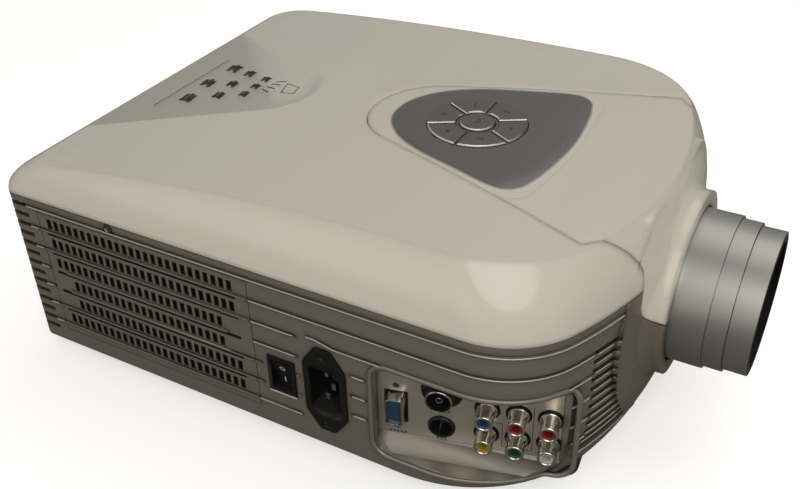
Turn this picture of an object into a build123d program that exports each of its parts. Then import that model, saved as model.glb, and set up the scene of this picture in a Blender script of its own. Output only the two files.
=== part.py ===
from build123d import *
import math
import os

# A desktop video projector. Millimetres, +Z up, +X towards the lens, sockets on the -Y side.
# Drawn from a station near the middle of the casing, on the table and on the lens's centre plane.

# Casing
REAR_X = -183.0
NOSE_X = 135.0
HALF_WIDTH = 117.0
FOOT_HEIGHT = 10.0
SEAM_Z = 101.0
SEAM_GAP = 0.4
CROWN_Z = 132.5
CROWN_X = 40.0
CROWN_RADIUS = 1650.0
WALL = 2.5
FLOOR = 3.0
FIT = 0.3
PAST = 17.0
INTO = 17.0
NOSE_RADIUS = 210.0
CORNER_RADIUS = 44.0
REAR_CORNER_RADIUS = 8.0

# Lower walls draw in towards the underside at the nose
CHIN_TOP_Z = 50.0
CHIN_SET_BACK = 8.0
CHIN_CORNER_GAIN = 31.0

# Cover's rounded shoulder
SHOULDER_TOP_Z = 136.0
SHOULDER_INSET = 14.5
SHOULDER_CORNER_GAIN = 14.0
REAR_SHOULDER_INSET = 64.5
REAR_SHOULDER_CORNER_GAIN = 20.0

# Dish at the rear of the cover
DISH_TIP_X = -58.0
DISH_HALF_ANGLE = 32.0
DISH_TIP_RADIUS = 23.0
DISH_DEPTH = 14.0
DISH_REAR_Z = 117.0
DISH_SLOPE = 2.6
DISH_TAPER = 57.0
DISH_SKIN = 3.5

# Lens axis and the collar around it
LENS_Z = 74.0
COLLAR_RADIUS = 45.0
COLLAR_X = 138.0
COLLAR_STRAIGHT = 4.0
COLLAR_BORE = 38.2
COLLAR_LIP = 2.5
FLARE_RADIUS = 68.0
FLARE_X = 126.0
FLARE_ROOT_X = 112.0
BROW_X = 106.0
BROW_RADIUS = 60.0

# Nose cap's tongue and its lobes beside the lens
TONGUE_APEX_X = -97.0
TONGUE_APEX_RADIUS = 34.0
TONGUE_CREASE_X = 106.0
TONGUE_CREASE_Y = 73.0
LOBE_X = 127.0
LOBE_HALF_WIDTH = 51.5
LOBE_LOW_Z = 77.0
LOBE_CORNER = 18.0

# Ribs around the base
RIB_LOW_Z = 24.4
RIB_PITCH = 12.0
RIB_COUNT = 7
RIB_HEIGHT = 1.2
RIB_PROUD = 0.7

# Louvres at the front and rear corners
LOUVRE_LOW_Z = 28.0
LOUVRE_PITCH = 5.15
LOUVRE_COUNT = 12
LOUVRE_HEIGHT = 2.5
LOUVRE_SIDE_INSET = 36.0
LOUVRE_DEPTH = 35.0
REAR_LOUVRE_LOW_Z = 18.4
REAR_LOUVRE_PITCH = 6.0
REAR_LOUVRE_COUNT = 14
REAR_GRILLE_HALF = 46.0
REAR_CORNER_INSET = 53.0
REAR_LOUVRE_LENGTH = 15.5
FAR_SLOT_REAR_X = -140.0
FAR_SLOT_FRONT_X = -62.0
SPEAKER_X = 52.0
SPEAKER_Z = 60.0

# Removable side panel
PANEL_REAR_X = -161.0
PANEL_FRONT_X = -33.0
PANEL_LOW_Z = 19.5
PANEL_HIGH_Z = 94.4
SLOT_FIRST_X = -154.0
SLOT_PITCH = 4.45
SLOT_COUNT = 26
SLOT_WIDTH = 1.9
SLOT_HEIGHT = 4.8
SLOT_OVER_RIB = 1.6
GROOVE_HEIGHT = 2.0
GROOVE_DEPTH = 1.4
TAB_LENGTH = 14.0
TAB_LOW_Z = 39.5
TAB_HIGH_Z = 64.5
TAB_CORNER = 5.0

# Keypad
PAD_TIP_X = -27.0
PAD_FRONT_X = 70.0
PAD_HALF_WIDTH = 58.0
PAD_SIDE_BULGE = 6.3
PAD_FRONT_BULGE = 6.5
PAD_TIP_RADIUS = 16.0
PAD_CORNER_RADIUS = 9.0
PAD_THICKNESS = 1.6
PAD_SINK = 0.3
BUTTON_X = 26.0
BUTTON_RING_RADIUS = 24.5
BUTTON_RING_INNER = 10.7
BUTTON_CENTRE_RADIUS = 8.7
BUTTON_GAP = 1.4
BUTTON_TOP_Z = 133.7
BUTTON_CLEARANCE = 0.35
BUTTON_LIP = 1.2
BUTTON_HOLE_RADIUS = 28.0
BUTTON_FLANGE_LOW_Z = 128.7
BUTTON_FLANGE_TOP_Z = 129.9
STEM_LOW_Z = 127.6
STEM_RADIUS = 2.5
GUIDE_TOP_Z = 129.8
GUIDE_RADIUS = 1.1
KEYPAD_BOARD_Z = 123.0

# Sockets: a flat plate in a recess, turned a little towards the lens
PLATE_BACK = 35.1
PLATE_INSET = 7.5
PLATE_TURN = 14.0
PLATE_THICKNESS = 1.5
BOARD_BACK = -12.0
RECESS_REAR = 8.5
RECESS_FRONT = 79.0
RECESS_LOW_Z = 19.5
RECESS_HIGH_Z = 70.5
LEDGE_Z = 27.5
LEDGE_DEPTH = 6.0
RECESS_CORNER = 7.0
VIDEO_Z = 44.0
VIDEO_SCREW_PITCH = 25.0
VIDEO_SCREW_HOLE = 1.6
PHONO_PITCH = 14.0
PHONO_ROW_PITCH = 14.5
PHONO_FIRST = 41.5
PHONO_LOW_Z = 36.5
PHONO_RADIUS = 4.15
PHONO_REACH = 9.5
PHONO_HOLE = 5.9
PHONO_FLANGE = 6.5
AERIAL_AT = 21.0
AERIAL_Z = 57.0
AERIAL_RECESS = 9.5
AERIAL_RADIUS = 6.0
ROUND_SOCKET_Z = 36.0
ROUND_SOCKET_RADIUS = 6.0

# Switch and mains inlet
ROCKER_X = -18.0
ROCKER_Z = 44.4
ROCKER_FRAME = (15.0, 21.0)
ROCKER_OPENING = (11.6, 17.6)
ROCKER_TILT = 10.0
PIVOT_INSET = 4.7
INLET_X = 6.0
INLET_Z = 45.0
INLET_FLANGE = (22.5, 50.0)
INLET_SOCKET = (16.2, 24.2)
INLET_DEPTH = 16.0
INLET_PIN = (2.0, 4.0)

# Lens
BARREL_RADIUS = 37.0
BARREL_FRONT_X = 154.0
RING_FRONT_X = 163.0
LENS_FRONT_X = 174.0
RING_RADIUS = 35.8
FRONT_RADIUS = 34.5
TUBE_RADIUS = 33.0
TUBE_WALL = 2.0
RUNNING = 0.08
MOUNT_X = 100.0
MOUNT_THICKNESS = 4.0

# Light path
TUNNEL_REAR_X = -58.0
TUNNEL_FRONT_X = 42.0
TUNNEL_SIDE_ROOM = 57.0
TUNNEL_LOW_Z = 30.0
TUNNEL_WALL = 2.0
LAMP_FRONT_X = -62.0
LAMP_REAR_X = -110.0
LAMP_RADIUS = 38.0
INTAKE_X = -100.0

# Screw columns, feet and boards, each placed by its distance from the side walls
COLUMN_X = (-150.0, 24.0)
COLUMN_INSET = (19.0, 25.0)
COLUMN_RADIUS = 5.5
COLUMN_TOP = 99.0
SCREW_HEAD_TOP = 84.4
SCREW_TOP = 112.0
SCREW_RADIUS = 1.5
SIDE_SCREW_X = -113.0
SIDE_SCREW_Z = 98.7
CEILING_HOLES = [(-100.0, -50.0), (-100.0, 50.0), (10.0, -50.0), (10.0, 50.0)]
CEILING_HOLE_RADIUS = 2.0
FRONT_FOOT_TURN = 23.0
FRONT_FOOT_INSET = 8.6
REAR_FOOT_X = -117.0
REAR_FOOT_INSET = 15.0
POWER_BOARD_X = (-138.0, 8.0)
POWER_BOARD_INSET = (51.0, 8.0)
MAIN_BOARD_X = (36.0, 92.0)
MAIN_BOARD_INSET = (55.0, 21.0)
BOARD_Z = 18.0
BOARD_THICKNESS = 1.6

# Places that follow from the sizes above
past_y = HALF_WIDTH + PAST
past_rear_x = REAR_X - PAST
past_front_x = LENS_FRONT_X + PAST
wall_y = WALL - HALF_WIDTH
side_y = HALF_WIDTH + RIB_PROUD
corner_y = HALF_WIDTH - CORNER_RADIUS
corner_x = NOSE_X - NOSE_RADIUS + math.sqrt((NOSE_RADIUS - CORNER_RADIUS) ** 2 - corner_y**2)
plate_x = corner_x - PLATE_BACK
plate_y = PLATE_INSET - HALF_WIDTH
rear_louvre_x = REAR_X + REAR_LOUVRE_LENGTH
louvre_side_y = HALF_WIDTH - LOUVRE_SIDE_INSET
rear_corner_y = HALF_WIDTH - REAR_CORNER_INSET
pivot_y = PIVOT_INSET - HALF_WIDTH
tunnel_half = HALF_WIDTH - TUNNEL_SIDE_ROOM
chin_corner = CORNER_RADIUS + CHIN_CORNER_GAIN
chin_nose = NOSE_RADIUS - CHIN_SET_BACK
chin_y = HALF_WIDTH - chin_corner
chin_x = NOSE_X - NOSE_RADIUS + math.sqrt((chin_nose - chin_corner) ** 2 - chin_y**2)
foot_reach = chin_corner - FRONT_FOOT_INSET
foot_turn = math.radians(FRONT_FOOT_TURN)
front_foot = (chin_x + foot_reach * math.cos(foot_turn), chin_y + foot_reach * math.sin(foot_turn))
rear_foot = (REAR_FOOT_X, HALF_WIDTH - REAR_FOOT_INSET)
power_board = (*POWER_BOARD_X, *[HALF_WIDTH - inset for inset in POWER_BOARD_INSET])
main_board = (*MAIN_BOARD_X, *[HALF_WIDTH - inset for inset in MAIN_BOARD_INSET])


def block(x0, x1, y0, y1, z0, z1):
    """Box between two corners."""
    return Pos((x0 + x1) / 2, (y0 + y1) / 2, (z0 + z1) / 2) * Box(x1 - x0, y1 - y0, z1 - z0)


def near_block(x0, x1, z0, z1, depth=INTO):
    """Block through the near side wall, down to a depth behind its face."""
    return block(x0, x1, -past_y, depth - HALF_WIDTH, z0, z1)


def far_block(x0, x1, z0, z1, depth):
    """Block through the far side wall, down to a depth behind its face."""
    return block(x0, x1, HALF_WIDTH - depth, past_y, z0, z1)


def slab(z0, z1):
    """Block over the whole casing between two heights."""
    return block(past_rear_x, past_front_x, -past_y, past_y, z0, z1)


def round_x(radius, x0, x1, y=0.0, z=LENS_Z):
    """Cylinder along X between two stations, on the lens axis unless told otherwise."""
    return Pos((x0 + x1) / 2, y, z) * Rot(0, 90, 0) * Cylinder(radius, x1 - x0)


def lens_x(radius, x0, x1, bulge):
    """Round lens along X: flat at its first station, its face bulging past the second."""
    ball = (radius**2 + bulge**2) / (2 * bulge)
    half_angle = math.asin(radius / ball) / 2
    middle = (x1 + bulge - ball + ball * math.cos(half_angle), ball * math.sin(half_angle))
    edges = [
        Line((x0, 0), (x0, radius)),
        Line((x0, radius), (x1, radius)),
        ThreePointArc((x1, radius), middle, (x1 + bulge, 0)),
        Line((x1 + bulge, 0), (x0, 0)),
    ]
    return Pos(0, 0, LENS_Z) * revolve(Plane.XZ * make_face(edges), Axis.X)


def round_y(radius, y0, y1, x, z):
    """Cylinder along Y between two stations."""
    return Pos(x, (y0 + y1) / 2, z) * Rot(90, 0, 0) * Cylinder(radius, y1 - y0)


def round_z(radius, z0, z1, x, y):
    """Upright cylinder between two heights."""
    return Pos(x, y, (z0 + z1) / 2) * Cylinder(radius, z1 - z0)


def plan(front, rear, half, corner, rear_corner):
    """Casing's outline from above: straight sides, an arched nose and rounded corners."""
    nose = NOSE_RADIUS - (NOSE_X - front)
    corner_y = half - corner
    corner_x = front - nose + math.sqrt((nose - corner) ** 2 - corner_y**2)
    meet = math.degrees(math.atan2(corner_y, corner_x - (front - nose)))
    straight = half - rear_corner
    rear_x = rear + rear_corner
    edges = [
        Line((rear, -straight), (rear, straight)),
        CenterArc((rear_x, straight), rear_corner, 180, -90),
        Line((rear_x, half), (corner_x, half)),
        CenterArc((corner_x, corner_y), corner, 90, meet - 90),
        CenterArc((front - nose, 0), nose, meet, -2 * meet),
        CenterArc((corner_x, -corner_y), corner, -meet, meet - 90),
        Line((corner_x, -half), (rear_x, -half)),
        CenterArc((rear_x, -straight), rear_corner, -90, -90),
    ]
    return make_face(edges)


def base_plan(z, inset):
    """Outline of the base at a height; below the chin's top it draws in towards the underside."""
    drop = (max(0.0, CHIN_TOP_Z - z) / (CHIN_TOP_Z - FOOT_HEIGHT)) ** 2
    return Pos(0, 0, z) * plan(
        NOSE_X - CHIN_SET_BACK * drop - inset,
        REAR_X + inset,
        HALF_WIDTH - inset,
        CORNER_RADIUS + CHIN_CORNER_GAIN * drop - inset,
        REAR_CORNER_RADIUS - inset,
    )


def cover_plan(z, inset):
    """Outline of the cover at a height; the shoulder leans in more and more, most of all at the rear."""
    span = SHOULDER_TOP_Z - SEAM_Z
    lean = ((z - SEAM_Z) / span) ** 2
    rear_slope = 2 * REAR_SHOULDER_INSET * (z - SEAM_Z) / span**2
    return Pos(0, 0, z) * plan(
        NOSE_X - SHOULDER_INSET * lean - inset,
        REAR_X + REAR_SHOULDER_INSET * lean + inset * math.hypot(1, rear_slope),
        HALF_WIDTH - SHOULDER_INSET * lean - inset,
        CORNER_RADIUS + SHOULDER_CORNER_GAIN * lean - inset,
        REAR_CORNER_RADIUS + REAR_SHOULDER_CORNER_GAIN * lean - inset,
    )


def crown(sink):
    """Everything below the gently arched top."""
    centre_z = CROWN_Z - CROWN_RADIUS
    return Pos(CROWN_X, 0, centre_z) * Rot(90, 0, 0) * Cylinder(CROWN_RADIUS - sink, 4 * HALF_WIDTH)


def base_volume(inset, low_z):
    """Filled base up to the seam."""
    steps = 5
    heights = [low_z + (CHIN_TOP_Z - low_z) * n / (steps - 1) for n in range(steps)]
    lower = loft([base_plan(z, inset) for z in heights], ruled=True)
    return lower + extrude(base_plan(CHIN_TOP_Z, inset), SEAM_Z - CHIN_TOP_Z)


def cover_volume(inset):
    """Filled cover above the seam."""
    steps = 15
    heights = [SEAM_Z + (SHOULDER_TOP_Z - SEAM_Z) * n / (steps - 1) for n in range(steps)]
    return loft([cover_plan(z, inset) for z in heights], ruled=True) & crown(inset)


def neck_volume(inset):
    """Filled collar and its flare, turned about the lens axis."""
    straight_x = COLLAR_X - COLLAR_STRAIGHT
    collar = COLLAR_RADIUS - inset
    flare = FLARE_RADIUS - inset
    front = COLLAR_X - inset
    flare_x = FLARE_X - inset
    span = straight_x - flare_x
    bend = (flare_x + 0.3 * span, collar + 0.3 * (flare - collar))
    edges = [
        Line((FLARE_ROOT_X, 0), (FLARE_ROOT_X, flare)),
        Line((FLARE_ROOT_X, flare), (flare_x, flare)),
        ThreePointArc((flare_x, flare), bend, (straight_x, collar)),
        Line((straight_x, collar), (front, collar)),
        Line((front, collar), (front, 0)),
        Line((front, 0), (FLARE_ROOT_X, 0)),
    ]
    turned = revolve(Plane.XZ * make_face(edges), Axis.X)
    return Pos(0, 0, LENS_Z) * turned


def brow(inset):
    """Limit of the flare: a rounded brow above the lens, square down to the underside below it."""
    centre_z = CROWN_Z - 1.3 - BROW_RADIUS
    low_z = FOOT_HEIGHT + (FLOOR if inset else 0.0)
    rolled = round_y(BROW_RADIUS - inset, -past_y, past_y, BROW_X, centre_z)
    return rolled + block(BROW_X - 20, COLLAR_X + 5, -past_y, past_y, low_z, LENS_Z)


def dish(sink):
    """Cutter for the dish: a wedge with a round tip, open to the rear, on a slightly tilted floor."""
    rear_x = REAR_X - 40.0
    half = (DISH_TIP_X - rear_x) * math.tan(math.radians(DISH_HALF_ANGLE))
    wedge = make_face(Polyline((DISH_TIP_X, 0), (rear_x, half), (rear_x, -half), close=True))
    tip = wedge.vertices().sort_by(Axis.X)[-1]
    wedge = fillet(tip, DISH_TIP_RADIUS)
    floor = Pos(REAR_X, 0, DISH_REAR_Z - sink) * Rot(0, -DISH_SLOPE, 0) * Pos(-REAR_X, 0, 0)
    return extrude(floor * wedge, DISH_DEPTH, taper=-DISH_TAPER)


def tongue(grow):
    """Prism around the nose cap as seen from above."""
    half = TONGUE_CREASE_Y + grow
    lobe = LOBE_HALF_WIDTH + grow
    apex = TONGUE_APEX_X - grow * (TONGUE_CREASE_X - TONGUE_APEX_X) / TONGUE_CREASE_Y
    far = COLLAR_X + 20.0
    points = [(apex, 0), (TONGUE_CREASE_X, half), (LOBE_X, lobe), (far, lobe)]
    points += [(x, -y) for x, y in reversed(points[1:])]
    face = make_face(Polyline(*points, close=True))
    tip = face.vertices().sort_by(Axis.X)[0]
    return extrude(Pos(0, 0, SEAM_Z) * fillet(tip, TONGUE_APEX_RADIUS), 60.0)


def lobes(grow):
    """Prism along the lens around the part of the collar that belongs to the nose cap."""
    low = LOBE_LOW_Z - grow
    high = SEAM_Z + 1.0
    width = 2 * (LOBE_HALF_WIDTH + grow)
    face = Pos(0, (low + high) / 2) * Rectangle(width, high - low)
    face = fillet(face.vertices().sort_by(Axis.Y)[:2], LOBE_CORNER)
    upright = Plane(origin=(FLARE_ROOT_X, 0, 0), x_dir=(0, 1, 0), z_dir=(1, 0, 0))
    return extrude(upright * face, 60.0)


def circle_through(a, b, c):
    """Centre and radius of the circle through three points."""
    d = 2 * (a[0] * (b[1] - c[1]) + b[0] * (c[1] - a[1]) + c[0] * (a[1] - b[1]))
    squares = [p[0] ** 2 + p[1] ** 2 for p in (a, b, c)]
    x = (squares[0] * (b[1] - c[1]) + squares[1] * (c[1] - a[1]) + squares[2] * (a[1] - b[1])) / d
    y = (squares[0] * (c[0] - b[0]) + squares[1] * (a[0] - c[0]) + squares[2] * (b[0] - a[0])) / d
    return (x, y), math.hypot(a[0] - x, a[1] - y)


def circles_meet(first, second, near):
    """Crossing of two circles that lies nearest to a point."""
    (x0, y0), r0 = first
    (x1, y1), r1 = second
    apart = math.hypot(x1 - x0, y1 - y0)
    along = (r0**2 - r1**2 + apart**2) / (2 * apart)
    aside = math.sqrt(r0**2 - along**2)
    ux, uy = (x1 - x0) / apart, (y1 - y0) / apart
    points = [(x0 + along * ux - way * aside * uy, y0 + along * uy + way * aside * ux) for way in (-1, 1)]
    return min(points, key=lambda p: math.hypot(p[0] - near[0], p[1] - near[1]))


def pad_plan(grow):
    """Keypad outline from above: three bowed sides and rounded corners, the tip to the rear."""
    tip = (PAD_TIP_X, 0)
    left = (PAD_FRONT_X, PAD_HALF_WIDTH)
    right = (PAD_FRONT_X, -PAD_HALF_WIDTH)
    length = math.hypot(PAD_FRONT_X - PAD_TIP_X, PAD_HALF_WIDTH)
    side_x = (PAD_TIP_X + PAD_FRONT_X) / 2 - PAD_SIDE_BULGE * PAD_HALF_WIDTH / length
    side_y = PAD_HALF_WIDTH / 2 + PAD_SIDE_BULGE * (PAD_FRONT_X - PAD_TIP_X) / length
    corners = [tip, left, right]
    middles = [(side_x, side_y), (PAD_FRONT_X + PAD_FRONT_BULGE, 0), (side_x, -side_y)]
    circles = []
    for n in range(3):
        centre_point, radius = circle_through(corners[n], middles[n], corners[(n + 1) % 3])
        circles.append((centre_point, radius + grow))
        scale = (radius + grow) / radius
        middle_x = centre_point[0] + (middles[n][0] - centre_point[0]) * scale
        middle_y = centre_point[1] + (middles[n][1] - centre_point[1]) * scale
        middles[n] = (middle_x, middle_y)
    corners = [circles_meet(circles[n - 1], circles[n], corners[n]) for n in range(3)]
    edges = [ThreePointArc(corners[n], middles[n], corners[(n + 1) % 3]) for n in range(3)]
    face = make_face(edges)
    face = fillet(face.vertices().sort_by(Axis.X)[0], PAD_TIP_RADIUS + grow)
    far = [v for v in face.vertices() if math.hypot(v.X - corners[1][0], abs(v.Y) - corners[1][1]) < 0.5]
    return fillet(far, PAD_CORNER_RADIUS + grow)


def pad_layer(grow, top, bottom):
    """Slab with the keypad's outline between two depths under the crown."""
    prism = extrude(Pos(0, 0, SEAM_Z + 10) * pad_plan(grow), 40.0)
    return (prism & crown(top)) - crown(bottom)


def ring_sector(inner, outer, turn, gap, z0, z1):
    """Sixth of a ring, cut back by half a gap on each straight side."""
    ring = round_z(outer, z0, z1, 0, 0) - round_z(inner, z0 - 1, z1 + 1, 0, 0)
    side = 2 * outer
    for angle, way in ((30, 1), (-30, -1)):
        cutter = Pos(0, way * (side / 2 - gap / 2), (z0 + z1) / 2) * Box(4 * outer, side, z1 - z0 + 4)
        ring = ring - Rot(0, 0, angle) * cutter
    ring = ring & block(0, outer + 1, -outer, outer, z0, z1)
    return Pos(BUTTON_X, 0, 0) * (Rot(0, 0, turn) * ring)


def on_plate(shape):
    """Place a shape drawn flat on the input plate: x along the plate, y up, z outwards."""
    turn = math.radians(PLATE_TURN)
    across = (math.cos(turn), math.sin(turn), 0)
    outwards = (math.sin(turn), -math.cos(turn), 0)
    return Plane(origin=(plate_x, plate_y, 0), x_dir=across, z_dir=outwards) * shape


def plate_round(radius, s, z, low, high):
    """Cylinder square to the input plate between two distances in front of it."""
    return on_plate(Pos(s, z, (low + high) / 2) * Cylinder(radius, high - low))


def plate_block(s0, s1, z0, z1, low, high):
    """Box square to the input plate between two distances in front of it."""
    return on_plate(block(s0, s1, z0, z1, low, high))


def recess(grow):
    """Recess in front of the input plate, its floor sloping down to the outer wall."""
    width = RECESS_FRONT + RECESS_REAR + 2 * grow
    height = RECESS_HIGH_Z - RECESS_LOW_Z + 2 * grow
    middle = ((RECESS_FRONT - RECESS_REAR) / 2, (RECESS_HIGH_Z + RECESS_LOW_Z) / 2)
    mouth = extrude(Pos(*middle) * RectangleRounded(width, height, RECESS_CORNER + grow), 60.0)
    low = RECESS_LOW_Z - grow
    ledge = LEDGE_Z - grow
    profile = [(0, ledge), (0, 90), (62, 90), (62, low), (LEDGE_DEPTH, low)]
    side = make_face(Polyline(*profile, close=True))
    upright = Plane(origin=(150, 0, 0), x_dir=(0, 0, 1), z_dir=(-1, 0, 0))
    slope = extrude(upright * side, 250.0)
    return on_plate(mouth & slope)


def wall_band(z0, z1, outer, inner):
    """Upright band that follows the casing's outline between two insets."""
    height = z1 - z0
    ring = extrude(base_plan(CHIN_TOP_Z, outer), height) - extrude(base_plan(CHIN_TOP_Z, inner), height)
    return Pos(0, 0, z0 - CHIN_TOP_Z) * ring


def rib_heights():
    """Middle heights of the ribs, from the lowest up."""
    return [RIB_LOW_Z + RIB_PITCH * n for n in range(RIB_COUNT)]


def rib_band(z):
    """One rib all the way round the base."""
    ring = extrude(base_plan(z, -RIB_PROUD), RIB_HEIGHT) - extrude(base_plan(z, 0.6), RIB_HEIGHT)
    return Pos(0, 0, -RIB_HEIGHT / 2) * ring


def fan_frame(size, depth):
    """Square fan frame, its air path along Z, with a hub plate on three arms at the bottom."""
    bore = size / 2 - 2.5
    frame = RectangleRounded(size, size, 4.0) - Circle(bore)
    frame = extrude(frame, depth)
    arms = extrude(Circle(size * 0.2), 2.0)
    for n in range(3):
        arms += Rot(0, 0, 30 + 120 * n) * block(0, bore + 0.5, -2, 2, 0, 2)
    body = frame + arms
    hole = size / 2 - 4.5
    corners = [Pos(x, y, depth / 2) * Cylinder(2.0, depth + 2) for x in (-hole, hole) for y in (-hole, hole)]
    return body - corners


def fan_rotor(size, depth):
    """Hub with seven raked blades, turning about Z above the hub plate."""
    hub_radius = size * 0.21
    tip = size / 2 - 3.5
    low = 3.0
    high = depth - 1.0
    rotor = round_z(hub_radius, low, high, 0, 0)
    for n in range(7):
        blade = Box(tip - hub_radius + 2, 1.2, (high - low) * 1.15)
        blade = Rot(50, 0, 0) * blade
        blade = Pos((tip + hub_radius - 2) / 2, 0, (low + high) / 2) * blade
        rotor += Rot(0, 0, 360 / 7 * n) * blade
    limit = round_z(tip, low, high, 0, 0)
    return rotor & limit


os.makedirs("parts", exist_ok=True)
nodes = {}

# Casing walls
flare = neck_volume(0) & brow(0)
outer = (base_volume(0, FOOT_HEIGHT) + cover_volume(0) + flare) - dish(0)
cavity_flare = neck_volume(WALL) & brow(WALL)
cavity = base_volume(WALL, FOOT_HEIGHT + FLOOR) + cover_volume(WALL) + cavity_flare
cavity = cavity - dish(DISH_SKIN)
shell = outer - cavity - round_x(COLLAR_BORE, FLARE_ROOT_X, COLLAR_X + 5)
above = slab(SEAM_Z + SEAM_GAP, SHOULDER_TOP_Z + 24)
below = slab(0, SEAM_Z)

# Screw columns: the base's rise from the floor, the cover's come down on them
columns = [(x, way * (HALF_WIDTH - inset)) for x, inset in zip(COLUMN_X, COLUMN_INSET) for way in (-1, 1)]

# Nose cap with a seat for the keypad
nose_zone = tongue(0) + lobes(0)
nose_cap = shell & nose_zone & (above + lobes(0))
pad_bottom = PAD_SINK + PAD_THICKNESS
nose_cap += pad_layer(2.5, pad_bottom, pad_bottom + 2.2) & tongue(-3.8)
nose_cap -= pad_layer(0.25, -5.0, pad_bottom)
nose_cap -= round_z(BUTTON_HOLE_RADIUS, 100, 150, BUTTON_X, 0)
posts = [(BUTTON_X - 27.5, -15.0), (BUTTON_X - 27.5, 15.0), (BUTTON_X + 27.5, -20.0), (BUTTON_X + 27.5, 20.0)]
for x, y in posts:
    nose_cap += round_z(2.6, KEYPAD_BOARD_Z, BUTTON_FLANGE_LOW_Z + 0.7, x, y)
nodes["nose_cap"] = nose_cap

# Top cover with a ledge under the nose cap's edge
cover_wall = (shell & above) - tongue(FIT)
ledge_skin = cover_volume(WALL) - cover_volume(WALL + 2.0)
ledge_zone = block(past_rear_x, BROW_X - 10, -past_y, past_y, SEAM_Z + 9, SHOULDER_TOP_Z + 24)
ledge = (ledge_skin & (tongue(2.5) - tongue(-3.4))) & ledge_zone
top_cover = cover_wall + ledge
for x, y in columns:
    column = round_z(COLUMN_RADIUS, COLUMN_TOP, SHOULDER_TOP_Z + 14, x, y)
    top_cover += column & (cavity + block(x - 8, x + 8, y - 8, y + 8, SEAM_Z - 11, SEAM_Z + 9))
for x, y in columns:
    top_cover -= round_z(SCREW_RADIUS, COLUMN_TOP - 1, SCREW_TOP + 1, x, y)
nodes["top_cover"] = top_cover

# Base shell
base = (shell & below) - lobes(FIT)
lip_low = wall_band(96.0, SEAM_Z, WALL - 0.5, WALL + 1.8)
lip_high = wall_band(SEAM_Z - 0.5, 103.2, WALL + 0.5, WALL + 1.8)
lobe_room = LOBE_HALF_WIDTH + 10.5
lip = (lip_low + lip_high) - block(90, past_front_x, -lobe_room, lobe_room, SEAM_Z - 11, SEAM_Z + 9)
for x, y in columns:
    lip -= round_z(COLUMN_RADIUS + 0.5, SEAM_Z, SEAM_Z + 9, x, y)
base += lip
for x, y in columns:
    base += round_z(COLUMN_RADIUS, FOOT_HEIGHT + 1, COLUMN_TOP, x, y)

# Ledge that the side panel rests against
ledge_y = wall_y + 1.8


def panel_block(grow, y0, y1):
    """Block with the side panel's outline, grown all round."""
    x0, x1 = PANEL_REAR_X - grow, PANEL_FRONT_X + grow
    return block(x0, x1, y0, y1, PANEL_LOW_Z - grow, PANEL_HIGH_Z + grow)


base += panel_block(2.5, wall_y, ledge_y) - panel_block(-2.5, wall_y - 1, ledge_y + 1)

# Inlet seat, recess walls and board posts
base += block(INLET_X - 13.5, INLET_X + 13.5, wall_y, wall_y + 2.2, INLET_Z - 28, INLET_Z + 28)
base += recess(2.0) & outer & below
side_screws = [(SIDE_SCREW_X, SIDE_SCREW_Z, -1), (SIDE_SCREW_X, SIDE_SCREW_Z, 1)]
side_screws += [(INLET_X, INLET_Z - 20, -1), (INLET_X, INLET_Z + 20, -1)]
for x, z, way in side_screws:
    base += round_y(2.2, *sorted((way * (HALF_WIDTH - 0.5), way * (HALF_WIDTH - 9.5))), x, z)
for x0, x1, y0, y1 in (power_board, main_board):
    for x in (x0 + 4, x1 - 4):
        for y in (y0 + 4, y1 - 4):
            base += round_z(3.0, FOOT_HEIGHT + 1, BOARD_Z, x, y)
for x, y in CEILING_HOLES:
    base += round_z(5.0, FOOT_HEIGHT + 1, 22.0, x, y)

# Ribs, with clear places for the panel, the switch, the sockets and the louvres
ribs = rib_band(rib_heights()[0])
for z in rib_heights()[1:]:
    ribs += rib_band(z)
panel_zone = near_block(PANEL_REAR_X, PANEL_FRONT_X, PANEL_LOW_Z, PANEL_HIGH_Z, WALL)
panel_ribs = ribs & panel_zone
louvre_root_x = NOSE_X - LOUVRE_DEPTH
clear = [
    panel_zone,
    near_block(ROCKER_X - 11, ROCKER_X + 9, ROCKER_Z - 12.4, ROCKER_Z + 12.6),
    near_block(INLET_X - 14, INLET_X + 13.5, INLET_Z - 28, INLET_Z + 26.5),
    near_block(INLET_X - 8, INLET_X + 22, RECESS_LOW_Z + 0.5, RECESS_LOW_Z + 8.5),
    near_block(plate_x - 11.5, plate_x + 75.5, RECESS_LOW_Z - 3.5, RECESS_HIGH_Z + 0.8, 57.0),
    near_block(INLET_X - 14, INLET_X + 8.5, INLET_Z + 26, INLET_Z + 29),
    block(louvre_root_x, past_front_x, -louvre_side_y, louvre_side_y, LOUVRE_LOW_Z - 2, SEAM_Z - 10),
    block(past_rear_x, rear_louvre_x, -past_y, past_y, REAR_LOUVRE_LOW_Z - 2.4, SEAM_Z - 3),
    round_x(FLARE_RADIUS + 0.5, louvre_root_x, past_front_x),
]
base += ribs - clear

# Humped piece of rib over the inlet
hump = [(-8.0, 29.0), (-3.4, 29.0), (6.0, 26.8), (8.6, 26.8)]
hump += [(8.6, 28.0), (6.4, 28.0), (-3.0, 30.2), (-8.0, 30.2)]
hump_face = make_face(Polyline(*[(INLET_X + x, INLET_Z + z) for x, z in hump], close=True))
hump_plane = Plane(origin=(0, 0.6 - HALF_WIDTH, 0), x_dir=(1, 0, 0), z_dir=(0, -1, 0))
base += extrude(hump_plane * hump_face, 0.6 + RIB_PROUD)
base -= panel_block(FIT, -past_y, wall_y)

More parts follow.
